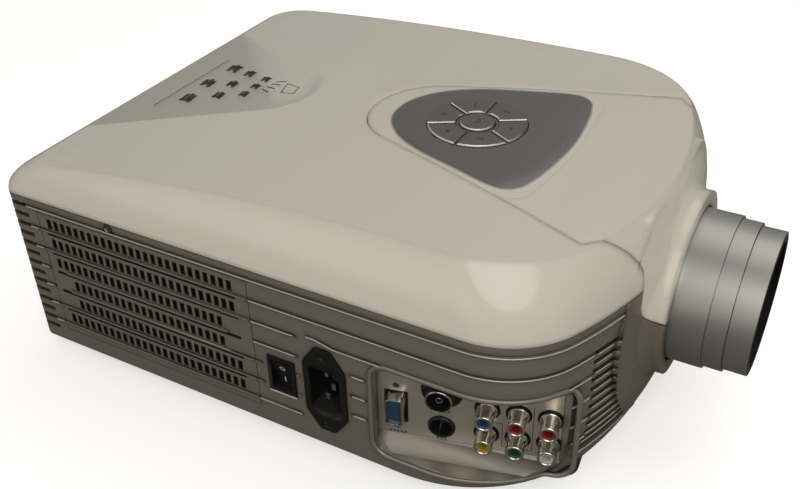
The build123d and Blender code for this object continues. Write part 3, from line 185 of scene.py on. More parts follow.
class ShaderGroups:
    """Node groups that several finishes share, each built once."""

    def __init__(self) -> None:
        """Build every group."""
        self.mottle = self._mottle()
        self.dust = self._dust()
        self.grain = self._grain()
        self.turned = self._turned()
        self.scuffs = self._scuffs()
        self.facing = self._painted_light_masks()

    @staticmethod
    def _mottle() -> bpy.types.NodeTree:
        """Slow colour drift, as moulded and sprayed shells have.

        Returns:
            The group, with output Shade around 1.
        """
        group = GroupWires("mottle", ["Shade"], Scale=9.0, Amount=0.04)
        centred = group.math("SUBTRACT", group.noise(group.given["Scale"], 3.0), 0.5)
        spread = group.math("MULTIPLY", centred, group.given["Amount"])
        doubled = group.math("MULTIPLY", spread, 2.0)
        return group.done(Shade=group.math("ADD", doubled, 1.0))

    @staticmethod
    def _dust() -> bpy.types.NodeTree:
        """Fine dust that settles on faces that look up, broken by a noise.

        Returns:
            The group, with output Mask from 0 to 1.
        """
        group = GroupWires("settled_dust", ["Mask"], Amount=0.1, Speck_Scale=420.0)
        up = group.math("MAXIMUM", group.normal()["Z"], 0.0)
        soft = group.math("MULTIPLY", group.noise(26.0, 4.0), 0.6)
        speck = group.math("GREATER_THAN", group.noise(group.given["Speck Scale"], 2.0), 0.66)
        mixed = group.math("ADD", soft, group.math("MULTIPLY", speck, 0.8))
        mask = group.math("MULTIPLY", group.math("MULTIPLY", up, mixed), group.given["Amount"])
        return group.done(Mask=group.math("MINIMUM", mask, 1.0))

    @staticmethod
    def _grain() -> bpy.types.NodeTree:
        """Even grain: orange peel on a gloss shell, or spark relief on a moulded one.

        Returns:
            The group, with output Height.
        """
        group = GroupWires("fine_grain", ["Height"], Scale=900.0, Waviness=0.3)
        fine = group.noise(group.given["Scale"], 2.0)
        wave = group.math("MULTIPLY", group.noise(60.0, 1.0), group.given["Waviness"])
        return group.done(Height=group.math("ADD", fine, wave))

    @staticmethod
    def _turned() -> bpy.types.NodeTree:
        """Fine turning lines round the lens axis.

        Returns:
            The group, with output Height.
        """
        group = GroupWires("turning_lines", ["Height"], Lines=2600.0, Depth=1.0)
        lines = group.noise(group.given["Lines"], 1.0, (1.0, 0.02, 0.02))
        return group.done(Height=group.math("MULTIPLY", lines, group.given["Depth"]))

    @staticmethod
    def _scuffs() -> bpy.types.NodeTree:
        """Faint wiping marks that change the gloss.

        Returns:
            The group, with output Variation around 0.
        """
        group = GroupWires("wiping_marks", ["Variation"], Scale=30.0, Amount=0.05)
        streak = group.noise(group.given["Scale"], 5.0, (1.0, 4.0, 2.0))
        centred = group.math("SUBTRACT", streak, 0.5)
        return group.done(Variation=group.math("MULTIPLY", centred, group.given["Amount"]))

    @staticmethod
    def _painted_light_masks() -> bpy.types.NodeTree:
        """Masks for painted light: how far a face looks up, and near sides facing the front that
        get a painted highlight.

        Returns:
            The group, with outputs Up and Flank, both from 0 to 1.
        """
        group = GroupWires("facing", ["Up", "Flank"], Lift=0.0, Flank_Share=0.0)
        normal = group.normal()
        up = group.math("MAXIMUM", normal["Z"], 0.0)
        below, above = group.math("LESS_THAN", up, 0.86), group.math("GREATER_THAN", up, 0.2)
        # Sides that face the front lamps, towards -Y, get the painted highlight.
        towards = group.math("MAXIMUM", group.math("MULTIPLY", normal["Y"], -1.6), 0.0)
        side = group.math("MULTIPLY", below, above)
        lit = group.math("MULTIPLY", side, group.math("MINIMUM", towards, 1.0))
        return group.done(
            Up=group.math("MULTIPLY", up, group.given["Lift"]),
            Flank=group.math("MULTIPLY", lit, group.given["Flank Share"]),
        )


# Finishes


@dataclass(frozen=True)
class Finish:
    """A surface finish and the material that it makes; lengths are in millimetres."""

    name: str
    colour: Colour
    roughness: float
    metallic: float = 0.0
    coat: float = 0.0
    coat_roughness: float = 0.05
    specular: float = 0.5
    mottle: float = 0.03
    mottle_scale: float = 9.0
    dust: float = 0.03
    dust_colour: Colour = (0.55, 0.52, 0.46)
    relief: Relief = Relief.MOULDED
    relief_scale: float = 1400.0
    relief_depth: float = 0.02
    scuff: float = 0.04
    transmission: float = 0.0
    edge_radius: float = 0.0
    # Painted light: the next two fields lighten faces that look up, the two after them paint a
    # highlight on near sides, and the last three paint shade into hollows.
    lift: float = 0.0
    painted_top_light_colour: Colour = (0.50, 0.46, 0.39)
    painted_flank_highlight: float = 0.0
    painted_flank_highlight_colour: Colour = (0.86, 0.84, 0.78)
    painted_hollow_shade: float = 0.0
    painted_hollow_shade_power: float = 2.8
    painted_hollow_shade_colour: Colour = (0.006, 0.005, 0.004)

    def material(self, groups: ShaderGroups) -> bpy.types.Material:
        """Build the material, or hand back the one that was built before.

        Args:
            groups: The shared shader groups.

        Returns:
            A node-based material.
        """
        known = bpy.data.materials.get("look_" + self.name)
        if known:
            return known
        material = bpy.data.materials.new("look_" + self.name)
        material.use_nodes = True
        material.diffuse_color = (*self.colour, 1.0)
        wires = Wires(material.node_tree)
        values = {
            "Metallic": self.metallic,
            "Coat Weight": self.coat,
            "Coat Roughness": self.coat_roughness,
            "Specular IOR Level": self.specular,
            "Transmission Weight": self.transmission,
            "Base Color": self._colour(wires, groups),
            "Roughness": self._gloss(wires, groups),
        }
        normal = self._normal(wires, groups)
        if normal is not None:
            values["Normal"] = normal
        wires.feed(wires.tree.nodes["Principled BSDF"], values)
        return material

    def _colour(self, wires: Wires, groups: ShaderGroups) -> bpy.types.NodeSocket:
        """Base colour with its drift, painted light on faces that look up, a painted highlight on
        near sides, its dust and painted shade in its hollows.

        Args:
            wires: The material's wires.
            groups: The shared shader groups.

        Returns:
            The colour.
        """
        drift = wires.shared(groups.mottle, Scale=self.mottle_scale, Amount=self.mottle)
        values = {0: self.colour, "Scale": drift.outputs["Shade"]}
        ground = wires.add("ShaderNodeVectorMath", values, operation="SCALE").outputs["Vector"]
        # Painted light: faces that look up turn lighter, and near sides get a painted highlight.
        if self.lift or self.painted_flank_highlight:
            facing = wires.shared(groups.facing, Lift=self.lift, Flank_Share=self.painted_flank_highlight).outputs
            ground = wires.mix(facing["Up"], ground, (*self.painted_top_light_colour, 1.0))
            ground = wires.mix(facing["Flank"], ground, (*self.painted_flank_highlight_colour, 1.0))
        dust = wires.shared(groups.dust, Amount=self.dust)
        top = wires.mix(dust.outputs["Mask"], ground, (*self.dust_colour, 1.0))
        # Painted shade: ambient occlusion darkens hollows towards a near-black colour.
        if self.painted_hollow_shade:
            reach = {"Distance": self.painted_hollow_shade * MM}
            sky = wires.add("ShaderNodeAmbientOcclusion", reach, samples=6).outputs["AO"]
            open_share = wires.math("POWER", sky, self.painted_hollow_shade_power)
            top = wires.mix(open_share, (*self.painted_hollow_shade_colour, 1.0), top)
        return top

    def _gloss(self, wires: Wires, groups: ShaderGroups) -> bpy.types.NodeSocket:
        """Roughness with wiping marks.

        Args:
            wires: The material's wires.
            groups: The shared shader groups.

        Returns:
            The roughness.
        """
        marks = wires.shared(groups.scuffs, Amount=self.scuff).outputs["Variation"]
        values = {0: marks, 1: self.roughness}
        return wires.add("ShaderNodeMath", values, operation="ADD", use_clamp=True).outputs[0]

    def _normal(self, wires: Wires, groups: ShaderGroups) -> Optional[bpy.types.NodeSocket]:
        """Normal with the softened edges and the fine relief.

        Args:
            wires: The material's wires.
            groups: The shared shader groups.

        Returns:
            The normal, or None where the finish changes nothing of it.
        """
        normal = None
        if self.edge_radius > 0:
            radius = {"Radius": self.edge_radius * MM}
            normal = wires.add("ShaderNodeBevel", radius, samples=4).outputs["Normal"]
        if self.relief is Relief.NONE:
            return normal
        if self.relief is Relief.TURNED:
            source = wires.shared(groups.turned, Lines=self.relief_scale)
        else:
            source = wires.shared(groups.grain, Scale=self.relief_scale)
        depth = self.relief_depth * MM
        values = {"Strength": 1.0, "Distance": depth, "Height": source.outputs["Height"]}
        if normal is not None:
            values["Normal"] = normal
        return wires.add("ShaderNodeBump", values).outputs["Normal"]


COVER_WHITE = Finish(
    "cover_white", (0.68, 0.64, 0.55), 0.30, coat=0.6, coat_roughness=0.07, mottle=0.02,
    dust=0.05, relief_scale=500.0, relief_depth=0.004, scuff=0.05, edge_radius=4.0,
)
COVER_PLAIN = replace(COVER_WHITE, name="cover_plain", edge_radius=0.0)
# Painted light on the faces that look up, and painted shade in the hollows.
BASE_SILVER = Finish(
    "base_silver", (0.224, 0.200, 0.163), 0.38, metallic=0.45, coat=0.15, mottle=0.05,
    relief=Relief.FLAKE, relief_scale=2600.0, relief_depth=0.01, edge_radius=0.25,
    lift=0.7, painted_top_light_colour=(0.40, 0.37, 0.31), painted_hollow_shade=5.0,
)
# Pale colour that paints in the highlight lines of the ribs, fins and switch edge.
RIB_PAINTED_HIGHLIGHT = Finish(
    "rib_painted_highlight", (0.56, 0.52, 0.44), 0.28, metallic=0.4, coat=0.3, relief_depth=0.006
)
SLOT_SHADE = Finish(
    "slot_shade", (0.012, 0.010, 0.008), 0.7, specular=0.2, mottle=0.1, dust=0.0,
    relief_depth=0.006,
)
PAD_GREY = Finish(
    "pad_grey", (0.140, 0.140, 0.142), 0.38, metallic=0.35, coat=0.15,
    relief=Relief.FLAKE, relief_scale=3000.0, relief_depth=0.008,
)
# Painted highlight on the near sides of the keys.
KEY_SILVER = Finish(
    "key_silver", (0.125, 0.119, 0.102), 0.36, metallic=0.3, coat=0.2,
    relief=Relief.FLAKE, relief_scale=3000.0, relief_depth=0.006, painted_flank_highlight=1.0,
)
LENS_SILVER = Finish(
    "lens_silver", (0.43, 0.425, 0.40), 0.42, metallic=0.9,
    relief=Relief.TURNED, relief_scale=2600.0, relief_depth=0.008,
)
BLACK_PLASTIC = Finish(
    "black_plastic", (0.008, 0.008, 0.008), 0.36, specular=0.3, mottle=0.1, dust=0.02,
    relief_depth=0.01, edge_radius=0.3,
)
GREY_PLASTIC = Finish("grey_plastic", (0.16, 0.16, 0.16), 0.5, mottle=0.05, dust=0.10)
DARK_RUBBER = Finish(
    "dark_rubber", (0.010, 0.010, 0.010), 0.62, mottle=0.1, dust=0.06,
    relief_scale=2200.0, relief_depth=0.03,
)
PLATE_METAL = Finish(
    "plate_metal", (0.58, 0.535, 0.455), 0.30, metallic=0.8, mottle=0.06, mottle_scale=40.0,
    relief_scale=1800.0, relief_depth=0.006, edge_radius=0.2,
)
STEEL = Finish(
    "steel", (0.50, 0.48, 0.44), 0.30, metallic=1.0, mottle=0.05, relief_scale=1800.0,
    relief_depth=0.006,
)
DULL_STEEL = replace(
    STEEL, name="dull_steel", colour=(0.20, 0.185, 0.15), roughness=0.40, mottle=0.08
)
BRIGHT_METAL = Finish(
    "bright_metal", (0.66, 0.63, 0.56), 0.18, metallic=1.0, mottle=0.04, dust=0.02,
    relief_depth=0.004, edge_radius=0.15,
)
LENS_GLASS = Finish(
    "lens_glass", (0.86, 0.90, 0.92), 0.02, mottle=0.0, dust=0.0, relief=Relief.NONE,
    scuff=0.01, transmission=0.95,
)
BOARD_GREEN = Finish("board_green", (0.02, 0.10, 0.045), 0.4, coat=0.2, mottle=0.1, dust=0.08)
VIDEO_BLUE = Finish("video_blue", (0.010, 0.042, 0.075), 0.35, mottle=0.05)
SOCKET_BLUE = Finish("socket_blue", (0.012, 0.060, 0.16), 0.35, mottle=0.05)
SOCKET_RED = Finish("socket_red", (0.21, 0.010, 0.016), 0.35, mottle=0.05)
HOLE_RED = Finish("hole_red", (0.060, 0.012, 0.010), 0.5, mottle=0.1)
SOCKET_YELLOW = Finish("socket_yellow", (0.36, 0.22, 0.012), 0.35, mottle=0.05)
SOCKET_GREEN = Finish("socket_green", (0.010, 0.080, 0.032), 0.35, mottle=0.05)
SOCKET_WHITE = Finish("socket_white", (0.50, 0.45, 0.40), 0.35, mottle=0.04)
FOAM_BLACK = Finish(
    "foam_black", (0.012, 0.012, 0.012), 0.9, mottle=0.3, mottle_scale=300.0,
    relief_scale=900.0, relief_depth=0.4,
)
MIRROR = Finish(
    "lamp_mirror", (0.80, 0.82, 0.84), 0.08, metallic=1.0, mottle=0.02, relief_depth=0.004
)
INK = Finish("ink", (0.02, 0.02, 0.02), 0.5, mottle=0.1, dust=0.05, relief=Relief.NONE)
PALE_INK = Finish(
    "pale_ink", (0.42, 0.42, 0.40), 0.5, mottle=0.05, dust=0.02, relief=Relief.NONE
)


# Form of the casing


@dataclass
class CasingForm:
    """The casing's outer form, in millimetres, as the frame has it."""

    rear_x: float = -183.0
    nose_x: float = 135.0
    half_width: float = 117.0
    nose_radius: float = 210.0
    corner: float = 44.0
    rear_corner: float = 8.0
    foot_z: float = 10.0
    chin_top_z: float = 50.0
    chin_set_back: float = 8.0
    chin_corner_gain: float = 31.0
    seam_z: float = 101.0
    shoulder_top_z: float = 136.0
    shoulder_inset: float = 14.5
    shoulder_corner_gain: float = 14.0
    rear_inset: float = 64.5
    rear_corner_gain: float = 20.0
    crown_z: float = 132.5
    crown_x: float = 40.0
    crown_radius: float = 1650.0
    lens_z: float = 74.0
    wall_slack: float = 0.45
    crown_slack: float = 0.6
    slope_step: float = 0.05

    def outline(self, z: float) -> tuple[float, float, float, float, float]:
        """Front, rear, half width, corner radius and rear corner radius at a height.

        Args:
            z: Height in millimetres.

        Returns:
            The five sizes.
        """
        if z < self.seam_z:
            drop = (max(0.0, self.chin_top_z - z) / (self.chin_top_z - self.foot_z)) ** 2
            front = self.nose_x - self.chin_set_back * drop
            corner = self.corner + self.chin_corner_gain * drop
            return front, self.rear_x, self.half_width, corner, self.rear_corner
        lean = ((z - self.seam_z) / (self.shoulder_top_z - self.seam_z)) ** 2
        inset = self.shoulder_inset * lean
        corner = self.corner + self.shoulder_corner_gain * lean
        rear = self.rear_x + self.rear_inset * lean
        rear_corner = self.rear_corner + self.rear_corner_gain * lean
        return self.nose_x - inset, rear, self.half_width - inset, corner, rear_corner

    def _nose(self, front: float, half: float, corner: float) -> tuple[float, ...]:
        """Arcs of the front at one height.

        Args:
            front: Foremost station.
            half: Half width.
            corner: Corner radius.

        Returns:
            The nose's radius and station, the corner's station and place across, and the
            angle from the nose's middle at which the two arcs meet.
        """
        nose = self.nose_radius - (self.nose_x - front)
        nose_x = front - nose
        corner_y = half - corner
        corner_x = nose_x + math.sqrt((nose - corner) ** 2 - corner_y**2)
        return nose, nose_x, corner_x, corner_y, math.atan2(corner_y, corner_x - nose_x)

    def distance(self, x: float, y: float, z: float) -> float:
        """How far a point lies outside the outline at its height.

        Args:
            x: Along the lens.
            y: Across.
            z: Height.

        Returns:
            The distance, negative inside.
        """
        front, rear, half, corner, rear_corner = self.outline(z)
        nose, nose_x, corner_x, corner_y, meet = self._nose(front, half, corner)
        y = abs(y)
        if x > corner_x - 1e-6:
            if math.atan2(y, x - nose_x) < meet:
                return math.hypot(x - nose_x, y) - nose
            return math.hypot(x - corner_x, y - corner_y) - corner
        rear_x = rear + rear_corner
        straight = half - rear_corner
        if x > rear_x:
            return y - half
        if y > straight:
            return math.hypot(rear_x - x, y - straight) - rear_corner
        return rear - x

    def wall_normal(self, point: Vector) -> Optional[Vector]:
        """True normal of the outer wall or shoulder at a point on it.

        Args:
            point: Place in millimetres.

        Returns:
            The normal, or None where the point isn't on that surface.
        """
        x, y, z = point
        if abs(self.distance(x, y, z)) > self.wall_slack:
            return None
        step = self.slope_step
        low_z, high_z = z - step, z + step
        if low_z < self.seam_z < high_z:
            low_z = high_z = z
        across = self.distance(x + step, y, z) - self.distance(x - step, y, z)
        aside = self.distance(x, y + step, z) - self.distance(x, y - step, z)
        slope = self.distance(x, y, high_z) - self.distance(x, y, low_z)
        return Vector((across, aside, slope)).normalized()

    def crown_height(self, x: float) -> float:
        """Height of the arched top at a station along the casing."""
        rise = math.sqrt(self.crown_radius**2 - (x - self.crown_x) ** 2)
        return self.crown_z - self.crown_radius + rise

    def crown_normal(self, point: Vector) -> Optional[Vector]:
        """True normal of the arched top at a point on it.

        Args:
            point: Place in millimetres.

        Returns:
            The normal, or None where the point isn't on that surface.
        """
        if abs(point.z - self.crown_height(point.x)) > self.crown_slack:
            return None
        return Vector((point.x - self.crown_x, 0, self.crown_radius)).normalized()

    def true_normal(self, place: Vector, facing: Vector) -> Vector:
        """Normal of the form at a corner of a face that lies on it.

        Args:
            place: The corner, in metres.
            facing: The face's own normal.

        Returns:
            The form's normal, or zero where the face keeps its own.
        """
        point = place / MM - Vector((STATION_SHIFT, 0, 0))
        wall = self.wall_normal(point)
        if wall and wall.dot(facing) > 0.96:
            return wall
        crown = self.crown_normal(point)
        if crown and crown.dot(facing) > 0.97:
            return crown
        return Vector((0, 0, 0))

    def walk(self, z: float, grow: float, spacing: float) -> list[Point]:
        """Closed walk round the outline, from the rear round the lens side and back.

        Args:
            z: Height in millimetres.
            grow: How far outside the outline the walk lies.
            spacing: Distance between points.

        Returns:
            The points, in order.
        """
        front, rear, half, corner, rear_corner = self.outline(z)
        nose, nose_x, corner_x, corner_y, meet = self._nose(front, half, corner)
        rear_x = rear + rear_corner
        straight = half - rear_corner
        walk: list[Point] = []

        def line(x0: float, y0: float, x1: float, y1: float) -> None:
            """Points along a straight."""
            count = max(2, int(math.hypot(x1 - x0, y1 - y0) / spacing))
            for n in range(count):
                walk.append((x0 + (x1 - x0) * n / count, y0 + (y1 - y0) * n / count, z))

        def arc(x: float, y: float, radius: float, first: float, last: float) -> None:
            """Points along an arc."""
            count = max(4, int(abs(last - first) * radius / spacing))
            for n in range(count):
                turn = first + (last - first) * n / count
                walk.append((x + radius * math.cos(turn), y + radius * math.sin(turn), z))

        quarter = math.pi / 2
        line(rear - grow, 0, rear - grow, -straight)
        arc(rear_x, -straight, rear_corner + grow, -2 * quarter, -quarter)
        line(rear_x, -half - grow, corner_x, -half - grow)
        arc(corner_x, -corner_y, corner + grow, -quarter, -meet)
        arc(nose_x, 0, nose + grow, -meet, meet)
        arc(corner_x, corner_y, corner + grow, meet, quarter)
        line(corner_x, half + grow, rear_x, half + grow)
        arc(rear_x, straight, rear_corner + grow, quarter, 2 * quarter)
        line(rear - grow, straight, rear - grow, 0)
        return walk


# Meshes and repeats


def link_object(name: str, data: bpy.types.ID) -> bpy.types.Object:
    """Link a new object to the scene.

    Args:
        name: The object's name.
        data: Its mesh, curve, lamp or camera.

    Returns:
        The object.
    """
    obj = bpy.data.objects.new(name, data)
    bpy.context.scene.collection.objects.link(obj)
    return obj


def path_curve(name: str, paths: Iterable[Sequence[Point]], closed: bool) -> bpy.types.Curve:
    """Curve data with one straight-run spline for each path.

    Args:
        name: The curve's name.
        paths: Points of each path, in millimetres.
        closed: Whether each path joins up with its start.

    Returns:
        The curve.
    """
    curve = bpy.data.curves.new(name, "CURVE")
    curve.dimensions = "3D"
    for points in paths:
        spline = curve.splines.new("POLY")
        spline.points.add(len(points) - 1)
        for index, point in enumerate(points):
            spline.points[index].co = (*(Vector(point) * MM), 1.0)
        spline.use_cyclic_u = closed
    return curve


def point_mesh(name: str, points: Iterable[Point]) -> bpy.types.Mesh:
    """Mesh of loose points for a tree to set shapes on.

    Args:
        name: The mesh's name.
        points: Places in millimetres.

    Returns:
        The mesh.
    """
    mesh = bpy.data.meshes.new(name)
    mesh.from_pydata([tuple(Vector(p) * MM) for p in points], [], [])
    return mesh


def bar(x: float, y: float, length: float, width: float, turn: float = 0.0) -> list[Flat]:
    """Flat bar.

    Args:
        x: Middle along the first axis.
        y: Middle along the second.
        length: Size along the bar.
        width: Size across it.
        turn: How far it is turned, in degrees.

    Returns:
        Its four corners.
    """
    along = Vector((math.cos(math.radians(turn)), math.sin(math.radians(turn)))) * length / 2
    aside = Vector((-along.y, along.x)).normalized() * width / 2
    middle = Vector((x, y))
    return [tuple(middle + a * along + b * aside) for a, b in ((-1, -1), (1, -1), (1, 1), (-1, 1))]


def stroke(first: Flat, second: Flat, width: float) -> list[Flat]:
    """Flat bar from one place to another, a little past both so that strokes meet.

    Args:
        first: Where it starts.
        second: Where it ends.
        width: Size across it.

    Returns:
        Its four corners.
    """
    way = Vector(second) - Vector(first)
    x, y = (Vector(second) + Vector(first)) / 2
    return bar(x, y, way.length + 0.3, width, math.degrees(math.atan2(way.y, way.x)))


def disc(x: float, y: float, radius: float, steps: int = 24) -> list[Flat]:
    """Corners of a flat disc."""
    turns = [2 * math.pi * n / steps for n in range(steps)]
    return [(x + radius * math.cos(t), y + radius * math.sin(t)) for t in turns]


class RepeatTrees:
    """Geometry Nodes trees for what repeats or follows a path."""

    def __init__(self) -> None:
        """Build every tree."""
        self.bead = self._bead()
        self.scatter = self._scatter()

    @staticmethod
    def _start(name: str, **inputs: str) -> tuple[Wires, bpy.types.bpy_prop_collection]:
        """Start a tree with geometry in and out and a material.

        Args:
            name: The tree's name.
            inputs: Types of its other inputs by name.

        Returns:
            The tree's wires, and what its inputs give.
        """
        wires = Wires(bpy.data.node_groups.new(name, "GeometryNodeTree"))
        face = wires.tree.interface
        for label, kind in {"Geometry": "Geometry", **inputs, "Material": "Material"}.items():
            face.new_socket(label, in_out="INPUT", socket_type="NodeSocket" + kind)
        face.new_socket("Geometry", in_out="OUTPUT", socket_type="NodeSocketGeometry")
        return wires, wires.add("NodeGroupInput").outputs

    @staticmethod
    def _end(
        wires: Wires, geometry: bpy.types.NodeSocket, material: bpy.types.NodeSocket
    ) -> bpy.types.NodeTree:
        """End a tree in Realize Instances and Set Material.

        Args:
            wires: The tree's wires.
            geometry: What the tree has made.
            material: The material that it gets.

        Returns:
            The finished tree.
        """
        real = wires.add("GeometryNodeRealizeInstances", {"Geometry": geometry}).outputs[0]
        values = {"Geometry": real, "Material": material}
        paint = wires.add("GeometryNodeSetMaterial", values).outputs["Geometry"]
        wires.add("NodeGroupOutput", {"Geometry": paint})
        return wires.tree

    def _bead(self) -> bpy.types.NodeTree:
        """Round bead swept along the curves that come in.

        Returns:
            The tree, with inputs Radius, Sides and Material.
        """
        wires, given = self._start("bead_along_path", Radius="Float", Sides="Int")
        ring = {"Radius": given["Radius"], "Resolution": given["Sides"]}
        circle = wires.add("GeometryNodeCurvePrimitiveCircle", ring).outputs["Curve"]
        run = {"Curve": given["Geometry"], "Profile Curve": circle, "Fill Caps": True}
        sweep = wires.add("GeometryNodeCurveToMesh", run).outputs["Mesh"]
        smooth = wires.add("GeometryNodeSetShadeSmooth", {"Geometry": sweep}).outputs["Geometry"]
        return self._end(wires, smooth, given["Material"])

    def _scatter(self) -> bpy.types.NodeTree:
        """One shape set on every point that comes in.

        Returns:
            The tree, with inputs Shape, Turn and Material.
        """
        wires, given = self._start("shape_on_points", Shape="Object", Turn="Vector")
        info = wires.add("GeometryNodeObjectInfo", {"Object": given["Shape"]}).outputs["Geometry"]
        turn = wires.add("FunctionNodeEulerToRotation", {"Euler": given["Turn"]}).outputs[0]
        values = {"Points": given["Geometry"], "Instance": info, "Rotation": turn}
        place = wires.add("GeometryNodeInstanceOnPoints", values).outputs["Instances"]
        return self._end(wires, place, given["Material"])

    @staticmethod
    def grow(
        name: str, seed: bpy.types.ID, tree: bpy.types.NodeTree, values: dict[str, object]
    ) -> bpy.types.Object:
        """Run a tree on a mesh or curve and keep the result as a plain mesh.

        Args:
            name: The new object's name.
            seed: The mesh or curve that the tree starts from.
            tree: The tree.
            values: Its inputs by name.

        Returns:
            An object at the origin with a plain mesh.
        """
        holder = link_object(name + "_seed", seed)
        modifier = holder.modifiers.new("repeat", "NODES")
        modifier.node_group = tree
        for item in tree.interface.items_tree:
            if item.item_type == "SOCKET" and item.in_out == "INPUT" and item.name in values:
                modifier[item.identifier] = values[item.name]
        bpy.context.view_layer.update()
        evaluated = holder.evaluated_get(bpy.context.evaluated_depsgraph_get())
        mesh = bpy.data.meshes.new_from_object(evaluated)
        holder.modifiers.remove(modifier)
        bpy.data.objects.remove(holder)
        mesh.name = name
        return link_object(name, mesh)


class Workshop:
    """Makes, dresses and books in pieces; edges that turn more than its angles stay sharp."""

    drawn_angle: float = 30.0
    dressed_angle: float = 28.0
    true_angle: float = 24.0

    def __init__(self, groups: ShaderGroups, form: CasingForm, trees: RepeatTrees) -> None:
        """Keep what every sub-assembly needs.

        Args:
            groups: The shared shader groups.
            form: The casing's form.
            trees: The shared trees.
        """
        self.groups = groups
        self.form = form
        self.trees = trees

    def book(
        self, obj: bpy.types.Object, body: Body | str, finish: Finish, nodes: Iterable[str] = ()
    ) -> bpy.types.Object:
        """Dress a piece, seat it on its body and hide the CAD nodes that it replaces.

        Args:
            obj: The finished object.
            body: The body it rides on.
            finish: Its finish.
            nodes: CAD nodes that it replaces.

        Returns:
            The same object.
        """
        obj.data.materials.clear()
        obj.data.materials.append(finish.material(self.groups))
        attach(obj, body.value if isinstance(body, Body) else body)
        names = list(nodes)
        if names:
            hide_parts(*names)
        LOG.info("%s: %d faces", obj.name, len(obj.data.polygons))
        return obj

    def add(
        self, obj: bpy.types.Object, body: Body | str, finish: Finish, slot: str
    ) -> bpy.types.Object:
        """Move a piece drawn by stations into the frame and book it in.

        Args:
            obj: The finished object, drawn by the part's own stations.
            body: The body it rides on.
            finish: Its finish.
            slot: Not used.

        Returns:
            The same object.
        """
        obj.data.transform(Matrix.Translation((STATION_SHIFT * MM, 0, 0)))
        self.book(obj, body, finish)
        return obj

    @staticmethod
    def smooth(mesh: bpy.types.Mesh, angle: float) -> None:
        """Shade a mesh smooth, with sharp edges past an angle in degrees."""
        mesh.polygons.foreach_set("use_smooth", [True] * len(mesh.polygons))
        mesh.set_sharp_from_angle(angle=math.radians(angle))

    def from_bmesh(self, name: str, bm: bmesh.types.BMesh) -> bpy.types.Object:
        """Turn a bmesh into an object with smooth shading.

        Args:
            name: The new object's name.
            bm: The finished bmesh; it is freed.

        Returns:
            The object.
        """
        mesh = bpy.data.meshes.new(name)
        bmesh.ops.recalc_face_normals(bm, faces=bm.faces)
        bm.to_mesh(mesh)
        bm.free()
        self.smooth(mesh, self.drawn_angle)
        return link_object(name, mesh)

    def merged(self, node: str, angle: float) -> bpy.types.Object:
        """Copy a CAD node with its corners merged, so that it can be shaded smooth.

        Args:
            node: The CAD node's name.
            angle: Edges that turn more than this stay sharp, in degrees.

        Returns:
            The copy, named after the node.
        """
        bm = bmesh.new()
        bm.from_mesh(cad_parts[node].data)
        bmesh.ops.remove_doubles(bm, verts=bm.verts, dist=2e-6)
        bmesh.ops.dissolve_degenerate(bm, edges=bm.edges, dist=1e-7)
        mesh = bpy.data.meshes.new(node + "_look")
        bm.to_mesh(mesh)
        bm.free()
        self.smooth(mesh, angle)
        return link_object(node + "_look", mesh)

    def dress(self, node: str, body: Body | str, finish: Finish) -> bpy.types.Object:
        """Show a merged, smoothly shaded copy of a CAD node in its place.

        Args:
            node: The CAD node's name.
            body: The body it rides on.
            finish: Its finish.

        Returns:
            The copy.
        """
        obj = self.merged(node, self.dressed_angle)
        obj.modifiers.new("even_normals", "WEIGHTED_NORMAL").keep_sharp = True
        return self.book(obj, body, finish, [node])

    def dress_true(
        self, node: str, body: Body, finish: Finish, pick: Callable[[Vector, Vector], Vector]
    ) -> None:
        """Show a copy of a CAD node with the normals of the form that it follows.

        Args:
            node: The CAD node's name.
            body: The body it rides on.
            finish: Its finish.
            pick: Gives the normal for a corner and its face's normal, or zero for no change.
        """
        obj = self.merged(node, self.true_angle)
        mesh = obj.data
        normals = [pick(mesh.vertices[n].co, f.normal) for f in mesh.polygons for n in f.vertices]
        mesh.normals_split_custom_set(normals)
        self.book(obj, body, finish, [node])

    @staticmethod
    def prism(bm: bmesh.types.BMesh, outline: Iterable[Point], lift: Point) -> None:
        """Add a closed prism to a bmesh.

        Args:
            bm: The bmesh.
            outline: Corner points of the base, in millimetres.
            lift: How far the other end lies, in millimetres.
        """
        points = [Vector(p) for p in outline]
        low = [bm.verts.new(p * MM) for p in points]
        high = [bm.verts.new((p + Vector(lift)) * MM) for p in points]
        bm.faces.new(low)
        bm.faces.new(list(reversed(high)))
        for n in range(len(low)):
            after = (n + 1) % len(low)
            bm.faces.new([low[n], low[after], high[after], high[n]])

    @staticmethod
    def wrap(bm: bmesh.types.BMesh, rings: Sequence[Sequence[bmesh.types.BMVert]]) -> None:
        """Join rings of corners, each to the next and the last to the first.

        Args:
            bm: The bmesh.
            rings: Corners of each ring, as many in one as in another.
        """
        for k, first in enumerate(rings):
            second = rings[(k + 1) % len(rings)]
            for n in range(len(first)):
                after = (n + 1) % len(first)
                bm.faces.new([first[n], first[after], second[after], second[n]])

    @staticmethod
    def lathe(bm: bmesh.types.BMesh, profile: Shape, place: Matrix, steps: int = 48) -> None:
        """Turn a closed profile about local Z and add it to a bmesh.

        Args:
            bm: The bmesh.
            profile: Pairs of radius and height in millimetres, as a closed loop.
            place: Where the turned piece goes, in millimetres.
            steps: How many segments it has.
        """
        rings = []
        for n in range(steps):
            turn = 2 * math.pi * n / steps
            across, aside = math.cos(turn), math.sin(turn)
            corners = [place @ Vector((r * across, r * aside, h)) for r, h in profile]
            rings.append([bm.verts.new(corner * MM) for corner in corners])
        for n, first in enumerate(rings):
            second = rings[(n + 1) % steps]
            for k in range(len(profile)):
                after = (k + 1) % len(profile)
                bm.faces.new([first[k], second[k], second[after], first[after]])
        bmesh.ops.remove_doubles(bm, verts=bm.verts, dist=1e-7)

